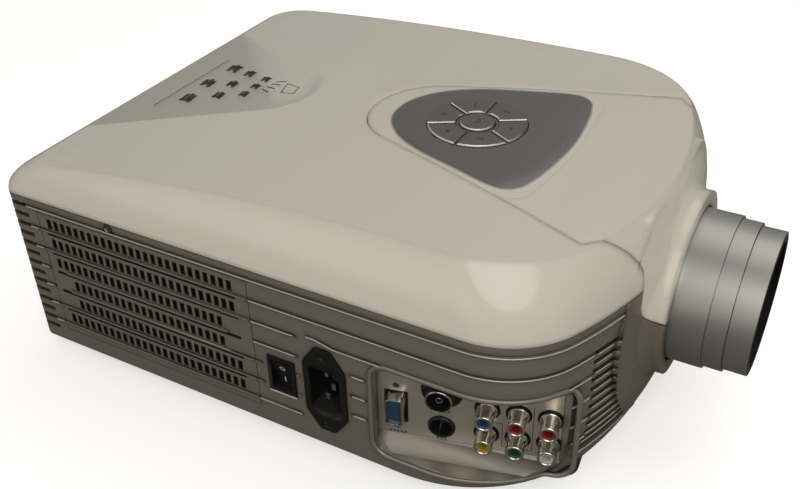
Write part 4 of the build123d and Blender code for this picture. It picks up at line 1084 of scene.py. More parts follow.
    def raised(
        self, name: str, prisms: Iterable[tuple[Iterable[Point], Point]], body: Body | str,
        finish: Finish, slot: str,
    ) -> None:
        """Book in one piece made of prisms.

        Args:
            name: The piece's name.
            prisms: The base outline and lift of each prism, in millimetres.
            body: The body it rides on.
            finish: Its finish.
            slot: The record's material slot.
        """
        bm = bmesh.new()
        for outline, lift in prisms:
            self.prism(bm, outline, lift)
        self.add(self.from_bmesh(name, bm), body, finish, slot)

    def bead(
        self, name: str, paths: Iterable[Sequence[Point]], radius: float, body: Body,
        finish: Finish, slot: str = "base_silver", sides: int = 10, closed: bool = False,
    ) -> None:
        """Book in round beads that follow paths.

        Args:
            name: The piece's name.
            paths: Points of each path, in millimetres.
            radius: The bead's radius.
            body: The body it rides on.
            finish: Its finish.
            slot: The record's material slot.
            sides: How many sides the bead has.
            closed: Whether each path joins up with its start.
        """
        seed = path_curve(name + "_path", paths, closed)
        paint = finish.material(self.groups)
        values = {"Radius": radius * MM, "Sides": sides, "Material": paint}
        self.add(self.trees.grow(name, seed, self.trees.bead, values), body, finish, slot)

    def scatter(
        self, name: str, shape: bpy.types.Object, points: Iterable[Point], body: Body,
        finish: Finish, slot: str,
    ) -> None:
        """Set one shape on every point and book the result.

        Args:
            name: The piece's name.
            shape: The shape, drawn about the origin; it is removed afterwards.
            points: Places in millimetres.
            body: The body it rides on.
            finish: Its finish.
            slot: The record's material slot.
        """
        seed = point_mesh(name + "_points", points)
        paint = finish.material(self.groups)
        values = {"Shape": shape, "Turn": (0.0, 0.0, 0.0), "Material": paint}
        obj = self.trees.grow(name, seed, self.trees.scatter, values)
        bpy.data.objects.remove(shape)
        self.add(obj, body, finish, slot)


@dataclass
class PlateFrame:
    """The input plate's own frame: along the plate, up, and out from its face."""

    x: float = 38.987
    y: float = -109.5
    turn: float = math.radians(14.0)

    def at(self, s: float, z: float, out: float) -> Point:
        """Place in the part's stations of a point given in the plate's frame."""
        across, aside = math.cos(self.turn), math.sin(self.turn)
        return self.x + s * across + out * aside, self.y + s * aside - out * across, z

    def matrix(self, s: float, z: float, out: float) -> Matrix:
        """Placing of a piece drawn with Z out from the plate and Y up.

        Args:
            s: Along the plate.
            z: Height.
            out: Distance in front of its face.

        Returns:
            The placing, in millimetres.
        """
        along = Vector((math.cos(self.turn), math.sin(self.turn), 0))
        outwards = Vector((math.sin(self.turn), -math.cos(self.turn), 0))
        axes = Matrix((along, Vector((0, 0, 1)), outwards)).transposed().to_4x4()
        return Matrix.Translation(self.at(s, z, out)) @ axes

    def upright(self, shape: Shape, low: float, high: float) -> tuple[list[Point], Point]:
        """Prism that stands square to the plate.

        Args:
            shape: Corners along the plate and up.
            low: Start, in front of the plate's face.
            high: End, in front of the plate's face.

        Returns:
            The base outline and the lift.
        """
        lift = Vector(self.at(0, 0, high)) - Vector(self.at(0, 0, low))
        return [self.at(s, z, low) for s, z in shape], tuple(lift)

    @staticmethod
    def rounded(s0: float, s1: float, z0: float, z1: float, radius: float) -> list[Flat]:
        """Points round a rectangle with rounded corners.

        Args:
            s0: Left side.
            s1: Right side.
            z0: Underside.
            z1: Top.
            radius: Corner radius.

        Returns:
            Pairs along the plate and up.
        """
        left, right, low, high = s0 + radius, s1 - radius, z0 + radius, z1 - radius
        corners = ((right, high, 0), (left, high, 90), (left, low, 180), (right, low, 270))
        points: list[Flat] = []
        for n, (s, z, first) in enumerate(corners):
            for k in range(9):
                turn = math.radians(first + 90 * k / 8)
                points.append((s + radius * math.cos(turn), z + radius * math.sin(turn)))
            s, z, first = corners[(n + 1) % 4]
            turn = math.radians(first)
            goal = (s + radius * math.cos(turn), z + radius * math.sin(turn))
            last = points[-1]
            count = max(1, int(math.dist(last, goal) / 3))
            for k in range(1, count):
                points.append(tuple(a + (b - a) * k / count for a, b in zip(last, goal)))
        return points


# Sub-assemblies


@dataclass
class Casing:
    """Cover, nose cap, base and side panel."""

    shop: Workshop
    walk_spacing: float = 1.6
    rib_low_z: float = 24.4
    rib_pitch: float = 12.0
    rib_count: int = 7
    bead_radius: float = 0.36
    bead_out: float = 0.60
    louvre_low_z: float = 28.0
    louvre_pitch: float = 5.15
    louvre_count: int = 12
    fin_bead_radius: float = 0.26
    fin_bead_rise: float = 0.95
    slot_first_x: float = -154.0
    slot_pitch: float = 4.45
    slot_count: int = 26
    slot_rise: float = 4.6
    slot_wide: float = 1.9
    slot_high: float = 4.8
    # Dark rims and sleeves of painted shade round the panel's slots.
    shade_rim_wide: float = 2.75
    shade_rim_high: float = 5.7
    shade_rim_skin: float = 0.05
    shade_sleeve_deep: float = 2.3
    shade_sleeve_gap: float = 0.02
    shade_sleeve_wall: float = 0.06
    # Dark strips of painted shade in the panel's grooves.
    groove_ends: Flat = (-156.95, -40.05)
    groove_high: float = 1.9
    groove_drop: float = 0.65
    groove_deep: Flat = (1.45, 0.45)
    recess: tuple[float, ...] = (-10.4, 80.9, 17.6, 72.4, 8.6)
    recess_lip_radius: float = 1.35
    recess_lip_sunk: float = 0.25
    dish_low_z: float = 117.0
    dish_slope: float = 0.0454

    def build(self) -> None:
        """Build and dress every piece of the casing."""
        for node, body, finish in (
            ("top_cover", Body.CASING, COVER_WHITE),
            ("nose_cap", Body.CASING, COVER_WHITE),
            ("base_shell", Body.CASING, BASE_SILVER),
            ("side_panel", Body.PANEL, BASE_SILVER),
        ):
            self.shop.dress_true(node, body, finish, self.shop.form.true_normal)
        self.shop.dress("dust_filter", Body.CASING, FOAM_BLACK)
        self._beads()
        self._slot_shades()
        self._groove_shades()
        self._recess_lip()
        self._dish_marks()

    def _rib_z(self, row: int) -> float:
        """Height of a rib."""
        return self.rib_low_z + self.rib_pitch * row

    def _off_collar(self, y: float, z: float, radius: float) -> bool:
        """Whether a place lies outside a circle round the lens."""
        return math.hypot(y, z - self.shop.form.lens_z) > radius

    def _ribbed(self, point: Point) -> bool:
        """Whether the wall has its ribs at a place.

        Args:
            point: The place, by stations.

        Returns:
            False in the zones of the panel, switch, sockets, louvres and lens.
        """
        x, y, z = point
        near = y < -100
        zones = {
            "side panel": near and -161 < x < -33 and 19.5 < z < 94.4,
            "switch": near and -29 < x < -9 and 32 < z < 57,
            "mains inlet": near and -8 < x < 19.5 and 17 < z < 71.5,
            "over the inlet": near and -8 < x < 14.5 and 71 < z < 74,
            "under the inlet": near and -2 < x < 28 and 20 < z < 28,
            "sockets": y < -60 and 27.5 < x < 114.5 and 16 < z < 71.3,
            "front louvres": x > 100 and abs(y) < 81 and 26 < z < 91,
            "rear louvres": x < -167.5 and 16 < z < 98,
            "collar": x > 100 and not self._off_collar(y, z, 68.5),
        }
        return not any(zones.values())

    def _on_fin(self, point: Point) -> bool:
        """Whether a place lies on a front louvre fin."""
        x, y, z = point
        return x > 100 and abs(y) < 80.4 and self._off_collar(y, z, 69.5)

    def _runs(self, z: float, grow: float, kept: Callable[[Point], bool]) -> list[list[Point]]:
        """Runs of a walk round the casing, of three points or more.

        Args:
            z: Height of the walk.
            grow: How far it lies outside the wall.
            kept: Whether a point belongs to a run.

        Returns:
            The points of each run.
        """
        runs: list[list[Point]] = [[]]
        for point in self.shop.form.walk(z, grow, self.walk_spacing):
            if kept(point):
                runs[-1].append(point)
            elif runs[-1]:
                runs.append([])
        return [run for run in runs if len(run) > 2]

    def _beads(self) -> None:
        """Rounded beads over the ribs and along the louvre fins, pale with a painted highlight
        except on the side panel.
        """
        walls: list[list[Point]] = []
        for row in range(self.rib_count):
            walls += self._runs(self._rib_z(row), self.bead_out, self._ribbed)
        side = -self.shop.form.half_width - self.bead_out
        inlet = ((-2.0, 74.6), (2.8, 74.6), (4.2, 74.2), (11.2, 72.6), (12.6, 72.4), (14.6, 72.4))
        walls.append([(x, side, z) for x, z in inlet])
        self.shop.bead("rib_beads", walls, self.bead_radius, Body.CASING, RIB_PAINTED_HIGHLIGHT)
        panel: list[list[Point]] = []
        for row in range(self.rib_count - 1):
            z = self._rib_z(row)
            first = -149.6 if 39.5 < z < 64.5 else -160.6
            last = -47.4 if 48.5 < z < 68.5 else -33.4
            panel.append([(first, side, z), (last, side, z)])
        self.shop.bead("panel_rib_beads", panel, self.bead_radius, Body.PANEL, BASE_SILVER)
        # Pale beads along the fins paint in the light lines of the louvres.
        fins: list[list[Point]] = []
        for n in range(self.louvre_count - 1):
            z = self.louvre_low_z + self.louvre_pitch * (n + 0.5) + self.fin_bead_rise
            fins += self._runs(z, 0.0, self._on_fin)
        self.shop.bead("louvre_beads", fins, self.fin_bead_radius, Body.CASING, RIB_PAINTED_HIGHLIGHT)

    def _slot_shades(self) -> None:
        """Painted shade: dark chamfered rims round the slots of the side panel, with dark sleeves
        that go in and hide the lit walls of the slots.
        """
        skin, gap = self.shade_rim_skin, self.shade_sleeve_gap
        wall = gap + self.shade_sleeve_wall
        walk = (
            (self.shade_rim_wide / 2, self.shade_rim_high / 2, skin),
            (self.shade_rim_wide / 2, self.shade_rim_high / 2, -skin),
            (self.slot_wide / 2 - wall, self.slot_high / 2 - wall, -skin),
            (self.slot_wide / 2 - wall, self.slot_high / 2 - wall, self.shade_sleeve_deep),
            (self.slot_wide / 2 - gap, self.slot_high / 2 - gap, self.shade_sleeve_deep),
            (self.slot_wide / 2 - gap, self.slot_high / 2 - gap, skin),
        )
        bm = bmesh.new()
        rings = []
        for w, h, y in walk:
            corners = [Vector((s * w, y, r * h)) for s, r in ((-1, -1), (1, -1), (1, 1), (-1, 1))]
            rings.append([bm.verts.new(corner * MM) for corner in corners])
        Workshop.wrap(bm, rings)
        shape = self.shop.from_bmesh("slot_rim", bm)
        points = []
        for row in range(self.rib_count - 1):
            z = self._rib_z(row) + self.slot_rise
            for n in range(self.slot_count):
                x = self.slot_first_x + self.slot_pitch * n
                rear_tab = 36.9 < z < 64.9 and x < -148
                front_tab = 46.9 < z < 68.9 and x > -49
                if not rear_tab and not front_tab:
                    points.append((x, -self.shop.form.half_width, z))
        self.shop.scatter("slot_rims", shape, points, Body.PANEL, SLOT_SHADE, "black_plastic")

    def _groove_shades(self) -> None:
        """Painted shade: dark strips set in the grooves under the ribs of the side panel."""
        (first, last), (deep, shallow) = self.groove_ends, self.groove_deep
        face = -self.shop.form.half_width
        prisms = []
        for row in range(1, self.rib_count - 1):
            high = self._rib_z(row) - self.groove_drop
            low = high - self.groove_high
            ring = ((first, low), (last, low), (last, high), (first, high))
            prisms.append(([(x, face + deep, z) for x, z in ring], (0, shallow - deep, 0)))
        self.shop.raised("groove_shades", prisms, Body.PANEL, SLOT_SHADE, "black_plastic")

    def _recess_lip(self) -> None:
        """Raised round lip on the outer wall round the socket recess."""
        plate = PlateFrame()
        path = []
        for s, z in plate.rounded(*self.recess):
            low, high = 0.0, 60.0
            for _ in range(40):
                middle = (low + high) / 2
                if self.shop.form.distance(*plate.at(s, z, middle)) < -self.recess_lip_sunk:
                    low = middle
                else:
                    high = middle
            path.append(plate.at(s, z, low))
        radius = self.recess_lip_radius
        self.shop.bead(
            "recess_lip", [path], radius, Body.CASING, BASE_SILVER, sides=14, closed=True
        )

    def _dish_marks(self) -> None:
        """Printed marks in the dish: plain strokes, a lamp sign with rays and a dotted line."""
        strokes: list[list[Flat]] = []
        big = ((-139, -19), (-141, 1), (-139, 23))
        middle_row = ((-125, -10), (-127, 5), (-126, 20))
        small = ((-112.6, -3.4), (-112.6, 7.1), (-112.6, 17.1))
        for places, size in ((big, 1.55), (middle_row, 1.25), (small, 1.05)):
            for (x, y), cross in zip(places, (-1.8, 0.2, 1.6)):
                strokes += [
                    bar(x + 1.5 * size, y - 0.5, 5.6 * size, 1.5 * size, 97),
                    bar(x - 0.1 * size, y + 0.9 * size, 5.0 * size, 1.4 * size, 97),
                    bar(x - 1.7 * size, y, 5.2 * size, 1.4 * size, 97),
                    bar(x, y + cross * size, 4.8 * size, 1.5 * size, 8),
                ]
        sign = [(-97.5, 16.6), (-88.5, 14.6), (-87.5, 6.6), (-94.5, 5.6)]
        strokes += [stroke(a, b, 0.5) for a, b in zip(sign, sign[1:] + sign[:1])]
        for n in range(4):
            strokes.append(bar(-102.4 - 0.6 * n, 17.6 - 4.4 * n, 6.0, 0.8, 26 - 16 * n))
        for n in range(35):
            strokes.append(bar(-150.2 - 0.02 * n, 31 - 1.9 * n, 0.8, 0.8))
        rear, low, slope = self.shop.form.rear_x, self.dish_low_z - 0.05, self.dish_slope
        prisms = [([(x, y, low + (x - rear) * slope) for x, y in s], (0, 0, 0.13)) for s in strokes]
        self.shop.raised("dish_marks", prisms, Body.CASING, INK, "black_plastic")


@dataclass
class Keypad:
    """Keypad plate, its seven keys and what is under them."""

    shop: Workshop
    centre_x: float = 26.0
    key_top_z: float = 133.7
    ring_middle: float = 17.6
    hole: float = 24.9
    lip_radius: float = 0.5
    lip_sunk: float = 0.12
    surround_grow: float = 1.3
    web_first: float = 10.2
    web_width: float = 0.9
    sign_sunk: float = 0.05
    sign_thick: float = 0.12
    centre_sign_over: float = 0.25

    def build(self) -> None:
        """Dress the keypad."""
        self._surround()
        self._pad()
        self._signs()
        for key in (
            "centre", "front", "front_left", "rear_left", "rear", "rear_right", "front_right"
        ):
            self.shop.dress("button_" + key, "button_" + key, KEY_SILVER)
        self.shop.dress("keypad_domes", Body.CASING, DARK_RUBBER)
        self.shop.dress("keypad_board", Body.CASING, BOARD_GREEN)

    @staticmethod
    def _hull(places: Iterable[Flat]) -> list[Flat]:
        """Convex outline of flat points.

        Args:
            places: The points.

        Returns:
            The outline's corners, in order.
        """
        ordered = sorted(places)

        def half(points: Iterable[Flat]) -> list[Flat]:
            """One side of the outline.

            Args:
                points: The points in the order of the walk.

            Returns:
                Its corners, without the last.
            """
            chain: list[Flat] = []
            for p in points:
                while len(chain) > 1:
                    (ax, ay), (bx, by) = chain[-2], chain[-1]
                    if (bx - ax) * (p[1] - ay) - (by - ay) * (p[0] - ax) > 1e-6:
                        break
                    chain.pop()
                chain.append(p)
            return chain[:-1]

        return half(ordered) + half(reversed(ordered))

    @staticmethod
    def _outline() -> list[Flat]:
        """Smooth outline of the grey pad through places on one side and their mirror images.

        Returns:
            The outline's points, in order.
        """
        side = (
            (75.2, 0), (74.6, 11), (73.2, 24), (71.2, 36), (67.6, 46), (61.5, 50.4), (53, 49.8),
            (42, 46.4), (30, 42.4), (18, 38.4), (7, 33.6), (-3, 27.2), (-11, 18.8),
            (-15.9, 9.8), (-17.4, 0),
        )
        ring = [Vector(p) for p in side] + [Vector((x, -y)) for x, y in reversed(side[1:-1])]
        walk: list[Flat] = []
        for n in range(len(ring)):
            a, b, c, d = (ring[(n + k) % len(ring)] for k in (-1, 0, 1, 2))
            for k in range(6):
                s = k / 6
                bend = 2 * a - 5 * b + 4 * c - d
                twist = 3 * b - a - 3 * c + d
                place = 0.5 * (2 * b + (c - a) * s + bend * s**2 + twist * s**3)
                walk.append((place.x, place.y))
        return walk

    def _layer(
        self, bm: bmesh.types.BMesh, outline: Shape, hole: float, low: float, high: float,
        edge: float,
    ) -> None:
        """Add a sheet that follows the arched top, with a round hole at the keys.

        Args:
            bm: The bmesh.
            outline: The sheet's outline.
            hole: Radius of the hole.
            low: Height of its underside over the arched top.
            high: Height of its face over the arched top.
            edge: Width of its rounded edge.
        """
        centre = Vector((self.centre_x, 0))
        rings = []
        for share, over, inset in (
            (0.0, low, 0), (0.0, high, 0), (0.35, high, 0), (0.7, high, 0), (1.0, high, edge),
            (1.0, high - 0.3 * (high - low), 0.25 * edge), (1.0, low, 0),
        ):
            ring = []
            for p in outline:
                way = Vector(p) - centre
                reach = hole + (way.length - inset - hole) * share
                x, y = centre + way.normalized() * reach
                z = self.shop.form.crown_height(x) + over
                ring.append(bm.verts.new(Vector((x, y, z)) * MM))
            rings.append(ring)
        Workshop.wrap(bm, rings)

    def _surround(self) -> None:
        """The cover's face that closes up to the grey pad."""
        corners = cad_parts["control_pad"].data.vertices
        places = {(round(v.co.x / MM - STATION_SHIFT, 2), round(v.co.y / MM, 2)) for v in corners}
        hull = self._hull(places)
        grown = []
        for n, p in enumerate(hull):
            way = (Vector(hull[(n + 1) % len(hull)]) - Vector(hull[n - 1])).normalized()
            grown.append(tuple(Vector(p) + self.surround_grow * Vector((way.y, -way.x))))
        bm = bmesh.new()
        self._layer(bm, grown, self.hole + 0.2, -0.1, 0.025, 0.6)
        ground = self.shop.from_bmesh("pad_surround", bm)
        self.shop.add(ground, Body.CASING, COVER_PLAIN, "cover_white")

    def _pad(self) -> None:
        """Grey pad with webs between the keys, and the white lip round it."""
        bm = bmesh.new()
        outline = self._outline()
        self._layer(bm, outline, self.hole, -0.15, 0.2, 0.35)
        level = self.shop.form.crown_height(self.centre_x)
        last = self.hole + 0.1
        middle = (self.web_first + last) / 2
        for angle in range(30, 390, 60):
            turn = math.radians(angle)
            x, y = self.centre_x + middle * math.cos(turn), middle * math.sin(turn)
            web = bar(x, y, last - self.web_first, self.web_width, angle)
            Workshop.prism(bm, [(u, v, level - 1.4) for u, v in web], (0, 0, 1.5))
        place = Matrix.Translation((self.centre_x, 0, level))
        Workshop.lathe(bm, [(9.2, -1.4), (10.3, -1.4), (10.3, 0.1), (9.2, 0.1)], place)
        pad = self.shop.from_bmesh("control_pad_look", bm)
        self.shop.add(pad, Body.CASING, PAD_GREY, "pad_grey")
        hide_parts("control_pad")
        path = [(x, y, self.shop.form.crown_height(x) - self.lip_sunk) for x, y in outline]
        self.shop.bead(
            "pad_lip", [path], self.lip_radius, Body.CASING, COVER_WHITE, "cover_white",
            closed=True,
        )

    def _sign(self, key: str, strokes: Iterable[Shape], x: float, y: float, over: float) -> None:
        """Print strokes on a key.

        Args:
            key: The key's name.
            strokes: Flat outlines about the key's middle.
            x: Station of that middle.
            y: Its place across.
            over: How far the print starts over the top of the ring of keys.
        """
        z, lift = self.key_top_z + over, (0, 0, self.sign_thick)
        prisms = [([(x + u, y + v, z) for u, v in shape], lift) for shape in strokes]
        self.shop.raised("sign_" + key, prisms, "button_" + key, INK, "black_plastic")

    def _signs(self) -> None:
        """Small plain signs printed on the keys: strokes and arrow heads."""
        signs = {
            "front": [bar(0, 0, 3.0, 0.6, 90)],
            "front_left": [bar(-0.8, 0, 1.8, 0.6, 40), bar(0.8, 0.2, 1.8, 0.6, -40)],
            "rear_left": [bar(0, 0.9, 3.2, 0.55, 90), bar(1.2, -0.9, 2.2, 0.55, 90)],
            "rear": [bar(0, 0, 3.6, 0.55, 90), bar(-1.4, 0, 2.4, 0.55, 90)],
            "rear_right": [bar(0, 0, 2.6, 0.6, 0), bar(0, 0, 2.6, 0.6, 90)],
            "front_right": [bar(-0.7, 0, 2.2, 0.6, 50), bar(0.7, 0, 2.2, 0.6, -50)],
        }
        for n, (key, strokes) in enumerate(signs.items()):
            turn, reach = math.radians(60 * n), self.ring_middle
            x, y = self.centre_x + reach * math.cos(turn), reach * math.sin(turn)
            self._sign(key, strokes, x, y, -self.sign_sunk)
        dashes = ((0, -1.4, 2.2), (0, 1.4, 2.2), (1.4, 0, 2.0))
        strokes = [bar(x, y, length, 0.6, 90) for x, y, length in dashes]
        self._sign("centre", strokes, self.centre_x, 0, self.centre_sign_over)


@dataclass
class Sockets:
    """Input plate and its sockets."""

    shop: Workshop
    plate: PlateFrame = field(default_factory=PlateFrame)
    video_z: float = 44.0
    phono_s: tuple[float, ...] = (41.5, 55.5, 69.5)
    phono_z: tuple[float, ...] = (36.5, 51.0)
    aerial_s: float = 21.0
    aerial_z: float = 57.0
    round_z: float = 36.0

    def build(self) -> None:
        """Dress the sockets and add their trim."""
        self._video_trim()
        self._phono_trim()
        self._rims()
        self._print()
        plan = {
            "input_plate": PLATE_METAL, "input_board": BOARD_GREEN, "vga_shell": BRIGHT_METAL,
            "vga_insert": VIDEO_BLUE, "aerial_shell": BLACK_PLASTIC, "aerial_core": BLACK_PLASTIC,
            "svideo_jack": BLACK_PLASTIC, "rca_shells": BRIGHT_METAL,
            "rca_insert_yellow": SOCKET_YELLOW, "rca_insert_green": SOCKET_GREEN,
            "rca_insert_white": SOCKET_WHITE, "rca_insert_blue": SOCKET_BLUE,
            "rca_inserts_red": SOCKET_RED,
        }
        for node, finish in plan.items():
            self.shop.dress(node, Body.CASING, finish)

    def _on_plate(
        self, name: str, shapes: Iterable[Shape], low: float, high: float, finish: Finish,
        slot: str,
    ) -> None:
        """Raise flat shapes on the plate as one piece.

        Args:
            name: The piece's name.
            shapes: Flat outlines along the plate and up.
            low: Start, in front of the plate's face.
            high: End, in front of the plate's face.
            finish: Its finish.
            slot: The record's material slot.
        """
        prisms = [self.plate.upright(shape, low, high) for shape in shapes]
        self.shop.raised(name, prisms, Body.CASING, finish, slot)

    def _turned(self, name: str, profile: Shape, steps: int = 32) -> bpy.types.Object:
        """Turned shape about the plate's normal, drawn about the origin.

        Args:
            name: The shape's name.
            profile: Pairs of radius and height.
            steps: How many segments it has.

        Returns:
            The shape.
        """
        place = self.plate.matrix(0, 0, 0)
        place.translation = (0, 0, 0)
        bm = bmesh.new()
        Workshop.lathe(bm, profile, place, steps)
        return self.shop.from_bmesh(name, bm)

    def _video_trim(self) -> None:
        """Dark surround, contact holes and screws of the video socket."""
        z, black = self.video_z, "black_plastic"
        edges = [bar(s, z, 18.6, 1.0, 90) for s in (-4.85, 4.85)]
        edges += [bar(0, z + up, 8.6, 1.1) for up in (-8.8, 8.8)]
        self._on_plate("video_surround", edges, -1.48, -0.5, BLACK_PLASTIC, black)
        rows = []
        for s in (-2.0, 0.0, 2.0):
            for row in range(5):
                up = z + 2.3 * row + (0.55 if s else 0.0) - 4.9
                rows.append(self.plate.at(s, up, 3.85))
        # Painted shade: flat dark discs on the insert stand in for the shaded contact holes.
        profile = [(0.0, -0.1), (0.46, -0.1), (0.46, 0.05), (0.0, 0.05)]
        hole = self._turned("contact_hole", profile, 10)
        self.shop.scatter("video_contacts", hole, rows, Body.CASING, INK, black)
        heads = [disc(0, z - 12.5, 1.5), disc(0, z + 12.5, 1.5)]
        self._on_plate("video_screws", heads, -1.3, -0.5, HOLE_RED, "red_plastic")

    def _phono_trim(self) -> None:
        """Black rings of painted shade round the phono shells, their bright end rings and collars.
        """
        places = [self.plate.at(s, z, 0) for s in self.phono_s for z in self.phono_z]
        # Painted shade: a black ring in each plate hole round the shell.
        shade_ring = [(4.25, -1.48), (5.85, -1.48), (5.85, -0.9), (4.25, -0.9)]
        nose = [(2.95, 8.7), (4.2, 8.2), (4.2, 9.55), (3.95, 9.8), (3.3, 9.8), (2.95, 9.5)]
        collar = [(4.16, -0.9), (4.75, -0.9), (4.75, 1.2), (4.5, 1.5), (4.16, 1.5)]
        for name, profile, finish in (
            ("phono_gaskets", shade_ring, BLACK_PLASTIC),
            ("phono_noses", nose, BRIGHT_METAL),
            ("phono_collars", collar, BRIGHT_METAL),
        ):
            shape = self._turned(name + "_shape", profile)
            self.shop.scatter(name, shape, places, Body.CASING, finish, finish.name)

    def _rims(self) -> None:
        """Bright rim of the aerial socket and rim of the round socket."""
        aerial = [(5.55, 6.9), (6.12, 6.6), (6.12, 7.1), (5.95, 7.25), (5.6, 7.2)]
        core = [(1.25, 4.9), (1.6, 4.9), (1.6, 5.7), (1.25, 5.7)]
        collar = [(4.75, 0.9), (6.1, 0.02), (6.4, 0.02), (6.2, 0.9), (5.7, 1.3), (4.9, 1.3)]
        for name, z, finish, turnings in (
            ("aerial_rim", self.aerial_z, BRIGHT_METAL, ((aerial, 48), (core, 24))),
            ("round_socket_rim", self.round_z, BLACK_PLASTIC, ((collar, 48),)),
        ):
            bm = bmesh.new()
            for profile, steps in turnings:
                Workshop.lathe(bm, profile, self.plate.matrix(self.aerial_s, z, 0), steps)
            self.shop.add(self.shop.from_bmesh(name, bm), Body.CASING, finish, finish.name)

    def _print(self) -> None:
        """Thin outline and short strokes printed on the plate."""
        walk = [(36.5, 59.0), (36.5, 43.8), (48.5, 43.8), (48.5, 30.0), (62.0, 30.0), (62.0, 57.0)]
        shapes = [stroke(first, second, 0.3) for first, second in zip(walk, walk[1:])]
        for s, z, count in (
            (0.6, 28.3, 5), (21.0, 45.6, 5), (21.0, 28.4, 3), (41.5, 29.6, 2), (55.5, 29.2, 2),
            (69.5, 29.2, 1), (66.4, 44.0, 1), (72.4, 44.0, 1),
        ):
            for n in range(count):
                left = s + 1.7 * (n - (count - 1) / 2)
                shapes += [bar(left, z + up, 1.1, 0.35) for up in (0.4, -0.4)]
                shapes.append(bar(left - 0.1 + 0.3 * (n % 2), z, 1.2, 0.3, 90))
        self._on_plate("plate_print", shapes, -0.05, 0.06, INK, "black_plastic")


@dataclass
class PowerEntry:
    """Rocker switch and mains inlet."""

    shop: Workshop
    rocker_at: Point = (-18.0, -112.3, 44.4)
    rocker_tilt: float = 10.0
    rocker_half: float = 8.0
    rocker_fall: float = 1.1
    rocker_face: float = 2.7
    sign_sunk: float = 0.06
    sign_out: float = 0.1
    bead_ends: Flat = (-25.6, -10.4)
    bead_at: Flat = (-117.35, 33.2)
    bead_radius: float = 0.6

    def build(self) -> None:
        """Dress the switch and the inlet."""
        self._signs()
        # Painted highlight: a pale bead under the switch frame stands in for the light on the lower
        # edge there.
        path = [(x, *self.bead_at) for x in self.bead_ends]
        self.shop.bead("switch_bead", [path], self.bead_radius, Body.CASING, RIB_PAINTED_HIGHLIGHT)
        self.shop.dress("rocker_housing", Body.CASING, BLACK_PLASTIC)
        self.shop.dress("rocker", Body.ROCKER, BLACK_PLASTIC)
        self.shop.dress("inlet_housing", Body.CASING, BLACK_PLASTIC)
        self.shop.dress("inlet_pins", Body.CASING, STEEL)

    def _signs(self) -> None:
        """Ring and bar printed on the two faces of the rocker."""
        tilt = Matrix.Rotation(math.radians(self.rocker_tilt), 4, "X")
        lean = math.atan2(self.rocker_fall, self.rocker_half)
        low, high = -self.sign_sunk, self.sign_out
        for name, way, share in (("sign_off", 1, 0.56), ("sign_on", -1, 0.42)):
            level = Vector((1, 0, 0))
            up = Vector((0, -way * math.sin(lean), math.cos(lean)))
            face = Matrix((level, up, level.cross(up))).transposed().to_4x4()
            out = -self.rocker_face - self.rocker_fall * share
            face.translation = (0, out, way * self.rocker_half * share)
            place = Matrix.Translation(self.rocker_at) @ tilt @ face
            bm = bmesh.new()
            if way > 0:
                ring = [(1.05, low), (1.55, low), (1.55, high), (1.05, high)]
                Workshop.lathe(bm, ring, place, 28)
            else:
                corners = [place @ Vector((u, v, low)) for u, v in bar(0, 0, 3.2, 0.55, 90)]
                Workshop.prism(bm, corners, place.to_3x3() @ Vector((0, 0, high - low)))
            obj = self.shop.from_bmesh(name, bm)
            self.shop.add(obj, Body.ROCKER, PALE_INK, "white_plastic")


@dataclass
class LensUnit:
    """Barrel, focus ring, front barrel and their glasses."""

    shop: Workshop
    axis_z: float = 74.0
    liner_first: float = 161.2
    liner_last: float = 173.9
    liner_steps: int = 14

    def build(self) -> None:
        """Dress the lens."""
        self.shop.dress("lens_mount", Body.CASING, GREY_PLASTIC)
        for node, body in (
            ("lens_barrel", Body.CASING), ("focus_ring", Body.FOCUS), ("front_barrel", Body.FRONT)
        ):
            self.shop.dress_true(node, body, LENS_SILVER, self._turned_normal)
        self.shop.dress("front_lens", Body.FRONT, LENS_GLASS)
        self.shop.dress("rear_lens", Body.CASING, LENS_GLASS)
        self._liner()

    def _turned_normal(self, place: Vector, facing: Vector) -> Vector:
        """Normal of a form turned about the lens axis.

        Args:
            place: A corner, in metres.
            facing: The normal of its face.

        Returns:
            The turned form's normal, or zero where the face keeps its own.
        """
        across = math.sqrt(max(0.0, 1.0 - facing.x * facing.x))
        radial = Vector((0, place.y, place.z - self.axis_z * MM)).normalized()
        if radial.dot(facing) < 0:
            radial = -radial
        if radial.dot(facing) > 0.97 * across and across > 0.2:
            return (Vector((facing.x, 0, 0)) + radial * across).normalized()
        return Vector((0, 0, 0))

    def _liner(self) -> None:
        """Ribbed black liner inside the front barrel and over its front edge."""
        place = Matrix(((0, 0, 1, 0), (1, 0, 0, 0), (0, 1, 0, self.axis_z), (0, 0, 0, 1)))
        first, last = self.liner_first, self.liner_last
        low, high = last + 0.15, last + 0.35
        profile = [(30.97, first), (30.97, low), (33.6, low), (33.6, high), (30.7, high)]
        for n in range(self.liner_steps):
            x = last - (last - first) * n / self.liner_steps
            profile += [(30.3, x), (30.75, x - 0.45)]
        profile.append((30.3, first))
        bm = bmesh.new()
        Workshop.lathe(bm, profile, place, 96)
        liner = self.shop.from_bmesh("lens_liner", bm)
        self.shop.add(liner, Body.FRONT, BLACK_PLASTIC, "black_plastic")


